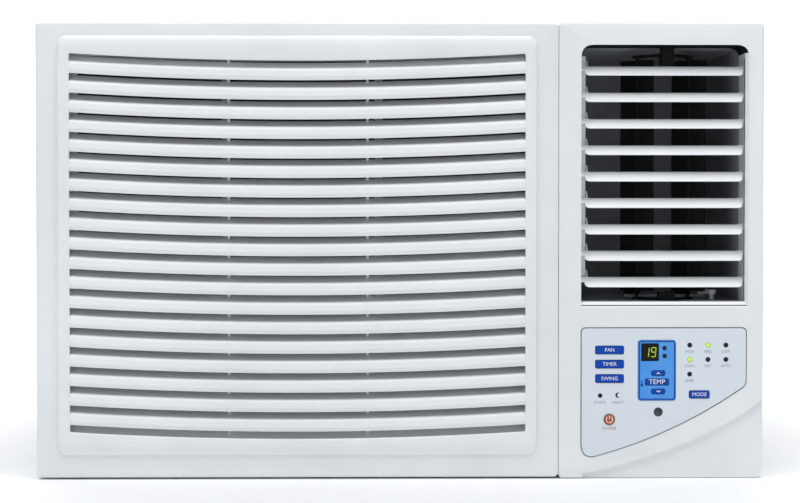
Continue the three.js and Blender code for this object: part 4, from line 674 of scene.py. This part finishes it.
def placeFlat(mesh, x, z, y):
    # a drawing in the XY plane, stood up to face the room, at (x, z) in mm and depth y
    mesh.transform(Matrix.Translation((x * mm, y * mm, z * mm)) @ Matrix.Rotation(math.pi / 2, 4, "X"))


def addLabel(name, words, x, z, size, y, body, ink):
    # printed words of a given height in mm, centred on a point, as a thin mesh
    curve = bpy.data.curves.new(name, "FONT")
    curve.body = words
    curve.size = size * mm
    curve.align_x = "CENTER"
    curve.align_y = "CENTER"
    curve.extrude = 0.03 * mm
    curve.resolution_u = 3
    holder = bpy.data.objects.new(name + "Text", curve)
    bpy.context.scene.collection.objects.link(holder)
    bpy.context.view_layer.update()
    mesh = bpy.data.meshes.new_from_object(holder)
    bpy.data.objects.remove(holder)
    mesh.name = name
    placeFlat(mesh, x, z, y)
    return addPiece(name, mesh, body, ink)


def addMark(name, outlines, y, body, ink):
    # flat marks: closed outlines of (x, z) in mm, carried a hair's breadth forward
    grids = [prism(outline, y - 0.04, y + 0.04, "y") for outline in outlines]
    return addPiece(name, gridMesh(name, grids), body, ink)


def frontOutline(nodeName):
    # the longest edge loop round the front faces of a CAD piece, as (x, z) in mm
    shell = bmesh.new()
    shell.from_mesh(nodes[nodeName].data)
    bmesh.ops.remove_doubles(shell, verts=shell.verts, dist=2e-6)
    frontmost = min(v.co.y for v in shell.verts)
    fronts = [f for f in shell.faces if f.normal.y < -0.9 and max(v.co.y for v in f.verts) < frontmost + 2e-5]
    inFront = set(fronts)
    after = {}
    for f in fronts:
        for loop in f.loops:
            if not any(other in inFront for other in loop.edge.link_faces if other is not f):
                after[loop.vert.index] = loop.link_loop_next.vert.index
    loops = []
    while after:
        start, trail = next(iter(after)), []
        at = start
        while at in after:
            trail.append(at)
            at = after.pop(at)
        loops.append(trail)
    shell.verts.ensure_lookup_table()
    longest = max(loops, key=lambda trail: np.ptp([shell.verts[i].co.x for i in trail]))
    outline = np.array([(shell.verts[i].co.x, shell.verts[i].co.z) for i in longest]) / mm
    shell.free()
    return outline


def addLine(name, outline, inner, outer, y, body, ink, underOnly=False):
    # a closed line drawn beside an outline: each corner moves along the mean of its two edge normals;
    #     # underOnly narrows it to a hair wherever the outline doesn't face down, which keeps a painted
    #     highlight to the underside
    ahead, behind = np.roll(outline, -1, axis=0) - outline, outline - np.roll(outline, 1, axis=0)
    across = []
    for edge in (ahead, behind):
        edge = edge / np.linalg.norm(edge, axis=1)[:, None]
        across.append(np.stack([edge[:, 1], -edge[:, 0]], -1))
    normal = across[0] + across[1]
    normal /= np.linalg.norm(normal, axis=1)[:, None]
    area = np.sum(outline[:, 0] * np.roll(outline[:, 1], -1) - outline[:, 1] * np.roll(outline[:, 0], -1))
    normal *= math.copysign(1, area)
    if underOnly:
        outer = inner + 0.02 + (outer - inner) * np.clip(-1.6 * normal[:, 1:], 0, 1)
    rings = []
    for reach, depth in ((outer, y - 0.04), (inner, y - 0.04), (inner, y + 0.04), (outer, y + 0.04)):
        moved = outline + normal * reach
        rings.append(np.stack([moved[:, 0], 0 * moved[:, 0] + depth, moved[:, 1]], -1))
    mesh = gridMesh(name, [np.stack(rings)], wrapU=True)
    return addPiece(name, mesh, body, ink)


def disc(x, z, radius, steps=20):
    # a circle: centre + radius * (cos, sin)
    a = np.linspace(0, 2 * math.pi, steps + 1)[:-1]
    return np.stack([x + radius * np.cos(a), z + radius * np.sin(a)], -1)


def centreOf(nodeName):
    # the middle of a CAD piece's face, and the depth of that face, in mm
    low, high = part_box(nodeName)
    return (low[0] + high[0]) / 2 / mm, (low[2] + high[2]) / 2 / mm, low[1] / mm


letter = {"key": 4.3, "temp": 5.6, "lamp": 3.1, "side": 3.0, "power": 3.4}
keyWords = {"key_fan": "FAN", "key_timer": "TIMER", "key_swing": "SWING", "key_mode": "MODE"}
for keyName, words in keyWords.items():
    keyX, keyZ, keyY = centreOf(keyName)
    addLabel("word_" + words.lower(), words, keyX, keyZ, letter["key"], keyY - 0.03, keyName, "whiteInkAndHighlight")

fasciaLow = np.array(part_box("control_fascia")[0]) / mm
fasciaY = fasciaLow[1] - 0.03
moduleLow, moduleHigh = (np.array(v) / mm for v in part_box("display_panel"))
moduleX = (moduleLow[0] + moduleHigh[0]) / 2
moduleY = moduleLow[1] - 0.03

# painted shade: a grey line just inside the fascia's edge, where the gap round the fascia lies in shade; and
# a painted highlight outside its lower curve, where the moulding's edge catches the light from above
fasciaOutline = frontOutline("control_fascia")
addLine("fasciaGapShade", fasciaOutline, -0.42, -0.02, fasciaY, "case", "paintedShadeLine")
addLine("recessHighlight", fasciaOutline, 0.45, 1.25, fasciaY + 0.38, "case", "whiteInkAndHighlight", True)

# arrows on the raise and lower keys
for keyName, up in (("key_temp_up", 1), ("key_temp_down", -1)):
    keyX, keyZ, keyY = centreOf(keyName)
    addMark("arrow_" + keyName[9:], [[(keyX - 1.9, keyZ - up * 0.8), (keyX - 0.9, keyZ - up * 0.8),
                                      (keyX, keyZ - up * 0.05), (keyX + 0.9, keyZ - up * 0.8),
                                      (keyX + 1.9, keyZ - up * 0.8), (keyX, keyZ + up * 0.9)][::up]],
            keyY - 0.05, keyName, "whiteInkAndHighlight")

# dark blue border line of the display module, and its dark block with the word
moduleLine = []
for inset in (0.5, 1.5):
    x, z = roundedOutline(moduleLow[0] + 1 + inset, moduleHigh[0] - 1 - inset, moduleLow[2] + inset,
                          moduleHigh[2] - 1 - inset, 2.6 - inset, 6, 4)
    moduleLine.append((x, z))
(outX, outZ), (inX, inZ) = moduleLine
lineRings = [np.stack([outX, 0 * outX + moduleY, outZ], -1), np.stack([inX, 0 * inX + moduleY, inZ], -1),
             np.stack([inX, 0 * inX + moduleY + 0.08, inZ], -1),
             np.stack([outX, 0 * outX + moduleY + 0.08, outZ], -1)]
addPiece("moduleLine", gridMesh("moduleLine", [np.stack(lineRings)], wrapU=True), "case", "blueInk")
blockX, blockZ = roundedOutline(moduleX - 10.1, moduleX + 10.1, 76.7, 82.7, 1.2, 5, 2)
addMark("tempBlock", [np.stack([blockX, blockZ], -1)], moduleY + 0.02, "case", "blueInk")
addLabel("word_temp", "TEMP", moduleX, 79.7, letter["temp"], moduleY - 0.05, "case", "whiteInkAndHighlight")

# seven-segment figures 1 and 9, leaning a little
windowX, windowZ, windowY = centreOf("display_window")
segment = {"half": 0.38, "wide": 3.5, "high": 7.6, "lean": 0.1}


def bar(x0, z0, x1, z1):
    # a thick line with pointed ends between two points
    a, b = np.array([x0, z0]), np.array([x1, z1])
    along = (b - a) / np.linalg.norm(b - a)
    across = np.array([-along[1], along[0]]) * segment["half"]
    inner = along * segment["half"]
    return np.array([a, a + inner + across, b - inner + across, b, b - inner - across, a + inner - across])


def figure(x, segments):
    # the bars of one figure; each corner leans right by a tenth of its height above the middle
    left, right = x - segment["wide"] / 2, x + segment["wide"] / 2
    low, high = windowZ - segment["high"] / 2, windowZ + segment["high"] / 2
    lines = {"a": (left, high, right, high), "b": (right, high, right, windowZ),
             "c": (right, windowZ, right, low), "d": (left, low, right, low),
             "e": (left, windowZ, left, low), "f": (left, high, left, windowZ),
             "g": (left, windowZ, right, windowZ)}
    outlines = []
    for key in segments:
        outline = bar(*lines[key])
        outline[:, 0] += (outline[:, 1] - windowZ) * segment["lean"]
        outlines.append(outline)
    return outlines


addMark("figures", figure(windowX - 2.7, "bc") + figure(windowX + 2.9, "abcdfg"), windowY - 0.05, "case",
        "segmentGreen")
addMark("moduleDots", [disc(moduleX + 6.2, 107.8, 1.9), disc(moduleX + 6.4, 101.3, 1.9)], moduleY + 0.02,
        "case", "darkInk")

# status lights: small domes over the guide's pegs, two of them lit
panelX = fasciaLow[0] - 18.1  # left edge of the fixed panel
lamp = {"radius": 1.9, "rise": 0.5}
lamps = [(108, 110.2), (123.1, 110.2), (138, 110.2), (108, 98.3), (123.1, 98.3), (138, 98.3), (108, 86.2)]
lit = {(123.1, 110.2), (108, 98.3)}
lampWords = ["HIGH", "MED", "LOW", "COOL", "DRY", "AUTO", "SLEEP"]


def dome(x, z, y, radius, rise):
    # a shallow cap: rings shrink by the cosine while they come forward by the sine
    rings = []
    for a in np.linspace(0, math.pi / 2 * 0.94, 7):
        rings.append(np.stack([x + radius * math.cos(a) * np.cos(turn), 0 * turn + y - rise * math.sin(a),
                               z + radius * math.cos(a) * np.sin(turn)], -1))
    return np.stack(rings)


for isLit in (True, False):
    places = [place for place in lamps if (place in lit) == isLit]
    grids = [dome(panelX + x, z, fasciaLow[1] + 0.1, lamp["radius"], lamp["rise"]) for x, z in places]
    name = "lampsLit" if isLit else "lampsDark"
    addPiece(name, gridMesh(name, grids), "case", "lampGreen" if isLit else "lampOff")
for (x, z), words in zip(lamps, lampWords):
    addLabel("word_" + words.lower(), words, panelX + x, z - 5.4, letter["lamp"], fasciaY, "case",
             "greyInk")

# left marks: a dot, a thin moon, and the words under them
moonA = np.linspace(math.radians(60), math.radians(300), 16)
moonX, moonZ = panelX + 48.7, 68.8
moonOuter = np.stack([moonX + 2.2 * np.cos(moonA), moonZ + 2.2 * np.sin(moonA)], -1)
moonB = np.linspace(math.radians(280), math.radians(80), 12)
moonInner = np.stack([moonX + 1.05 + 1.75 * np.cos(moonB), moonZ + 1.75 * np.sin(moonB)], -1)
addMark("sideMarks", [disc(panelX + 33.8, 68.5, 1.9), np.concatenate([moonOuter, moonInner])],
        fasciaY + 0.02, "case", "darkInk")
addLabel("word_lamp", "CLOCK", panelX + 33.8, 62.9, letter["side"], fasciaY, "case", "greyInk")
addLabel("word_night", "NIGHT", panelX + 48.7, 62.9, letter["side"], fasciaY, "case", "greyInk")
addLabel("word_power", "POWER", panelX + 41.5, 41.2, letter["power"], fasciaY, "case", "brownInk")

# thermometer beside the module's lower half
thermX = panelX + 68.3
stem = np.stack(roundedOutline(thermX - 0.45, thermX + 0.45, 78.0, 81.4, 0.4, 4, 2), -1)
addMark("thermometer", [disc(thermX, 77.2, 1.2), stem], moduleY + 0.02, "case", "blueInk")

# power sign on its key: an open ring and a stroke
powerX, powerZ, powerY = centreOf("key_power")
sign = {"outer": 3.1, "inner": 2.15, "half": 0.45, "low": 0.4, "high": 3.3}
ringTurn = np.linspace(math.radians(125), math.radians(415), 26)
ringOut = np.stack([powerX + sign["outer"] * np.cos(ringTurn), powerZ + sign["outer"] * np.sin(ringTurn)], -1)
backTurn = ringTurn[::-1]
ringIn = np.stack([powerX + sign["inner"] * np.cos(backTurn), powerZ + sign["inner"] * np.sin(backTurn)], -1)
stroke = [(powerX - sign["half"], powerZ + sign["low"]), (powerX + sign["half"], powerZ + sign["low"]),
          (powerX + sign["half"], powerZ + sign["high"]), (powerX - sign["half"], powerZ + sign["high"])]
addMark("powerSign", [np.concatenate([ringOut, ringIn]), stroke], powerY + 0.36, "key_power", "peachInk")
print("lettering and marks made")


# lip of the fixed panel at the seam, brought up close to the door so that only a fine line shows
lip = [(doorX1 + 0.15, frontY + 6.5), (doorX1 + 0.15, frontY + 4.5), (doorX1 + 0.3, frontY + 4.15),
       (doorX1 + 0.7, frontY + 4.03), (doorX1 + 3.2, frontY + 4.02), (doorX1 + 3.2, frontY + 6.5)]
addPiece("seamLip", gridMesh("seamLip", [prism(lip, doorZ0 + 2.2, doorZ1 - 2.6, "z")]), "case", "whiteAbs")

# painted shade: a dark strip where the joint between the panel and the outlet frame lies in shade, along the
# lower slope and up the right wall
def slopeAt(share):
    # a point on the mouth's lower slope: it runs back 3.5 mm while it climbs 4.5 mm
    return frontY + 4 + 3.5 * share, outletZ0 - 4.5 * (1 - share)


joint = []
for share, proud in ((0.22, 0.06), (0.42, 0.06), (0.42, -0.3), (0.22, -0.3)):
    y, z = slopeAt(share)
    joint.append([(outletX0 + 0.3, y - proud, z + proud), (outletX1 + 1.6, y - proud, z + proud)])
joint = np.array(joint).transpose(1, 0, 2)
wall = []
for y, x in ((frontY + 9.6, outletX1 - 0.06), (frontY + 13.2, outletX1 - 0.06),
             (frontY + 13.2, outletX1 + 0.3), (frontY + 9.6, outletX1 + 0.3)):
    wall.append([(x, y, outletZ0 + 0.3), (x, y, outletZ1 - 11)])
wall = np.array(wall).transpose(1, 0, 2)
addPiece("outletJointShade", gridMesh("outletJointShade", [joint, wall]), "case", "paintedShadeLine")

# floor, backdrop and light

stage = {"front": -4.0, "rear": 3.0, "half": 6.0, "bend": 1.6, "height": 5.0, "under": 0.0004}
bendTurn = np.linspace(0, math.pi / 2, 17)
sweepY = np.concatenate([[stage["front"]], stage["rear"] - stage["bend"] + stage["bend"] * np.sin(bendTurn),
                         [stage["rear"]]])
sweepZ = np.concatenate([[0.0], stage["bend"] * (1 - np.cos(bendTurn)), [stage["height"]]])
across = np.array([-stage["half"], stage["half"]])
flat = 0 * across[:, None]
sweep = np.stack([across[:, None] + 0 * sweepY, flat + sweepY, flat + sweepZ - stage["under"]], -1)
stageMesh = gridMesh("paperSweep", [sweep / mm], wrapV=False, capEnds=False)
# white seamless paper: matt, with a barely visible tooth
made["seamlessPaper"] = surfaceMaterial("seamlessPaper", {
    "dark": "#f4f5f6", "light": "#f8f9fa", "roughness": (0.85, 0.95), "mottle": 0.6, "grain": 0.004,
    "relief": 0.1})
stageMesh.materials.append(made["seamlessPaper"])
sweepPiece = bpy.data.objects.new("paperSweep", stageMesh)
bpy.context.scene.collection.objects.link(sweepPiece)

lights = [
    # name, place, aim, width, height, watts
    ("topBox", (0.0, -0.95, 2.15), (0.0, -0.3, 0.2), 2.6, 1.3, 37.0),
    ("roomBox", (-0.9, -3.2, 1.3), (0.0, -0.2, 0.2), 2.4, 1.6, 5.0),
    ("backBox", (0.0, 1.2, 3.0), (0.0, 2.9, 0.5), 3.4, 1.2, 80.0),
]
for name, place, aim, width, height, watts in lights:
    light = bpy.data.lights.new(name, "AREA")
    light.shape = "RECTANGLE"
    light.size = width
    light.size_y = height
    light.energy = watts
    holder = bpy.data.objects.new(name, light)
    holder.location = place
    holder.rotation_euler = (Vector(aim) - Vector(place)).to_track_quat("-Z", "Y").to_euler()
    bpy.context.scene.collection.objects.link(holder)

world = bpy.data.worlds.new("studio")
world.use_nodes = True
world.node_tree.nodes["Background"].inputs["Color"].default_value = hexLinear("#f6f8fa")
world.node_tree.nodes["Background"].inputs["Strength"].default_value = 0.38
bpy.context.scene.world = world
bpy.context.scene.view_settings.view_transform = "Standard"
print("stage lit")
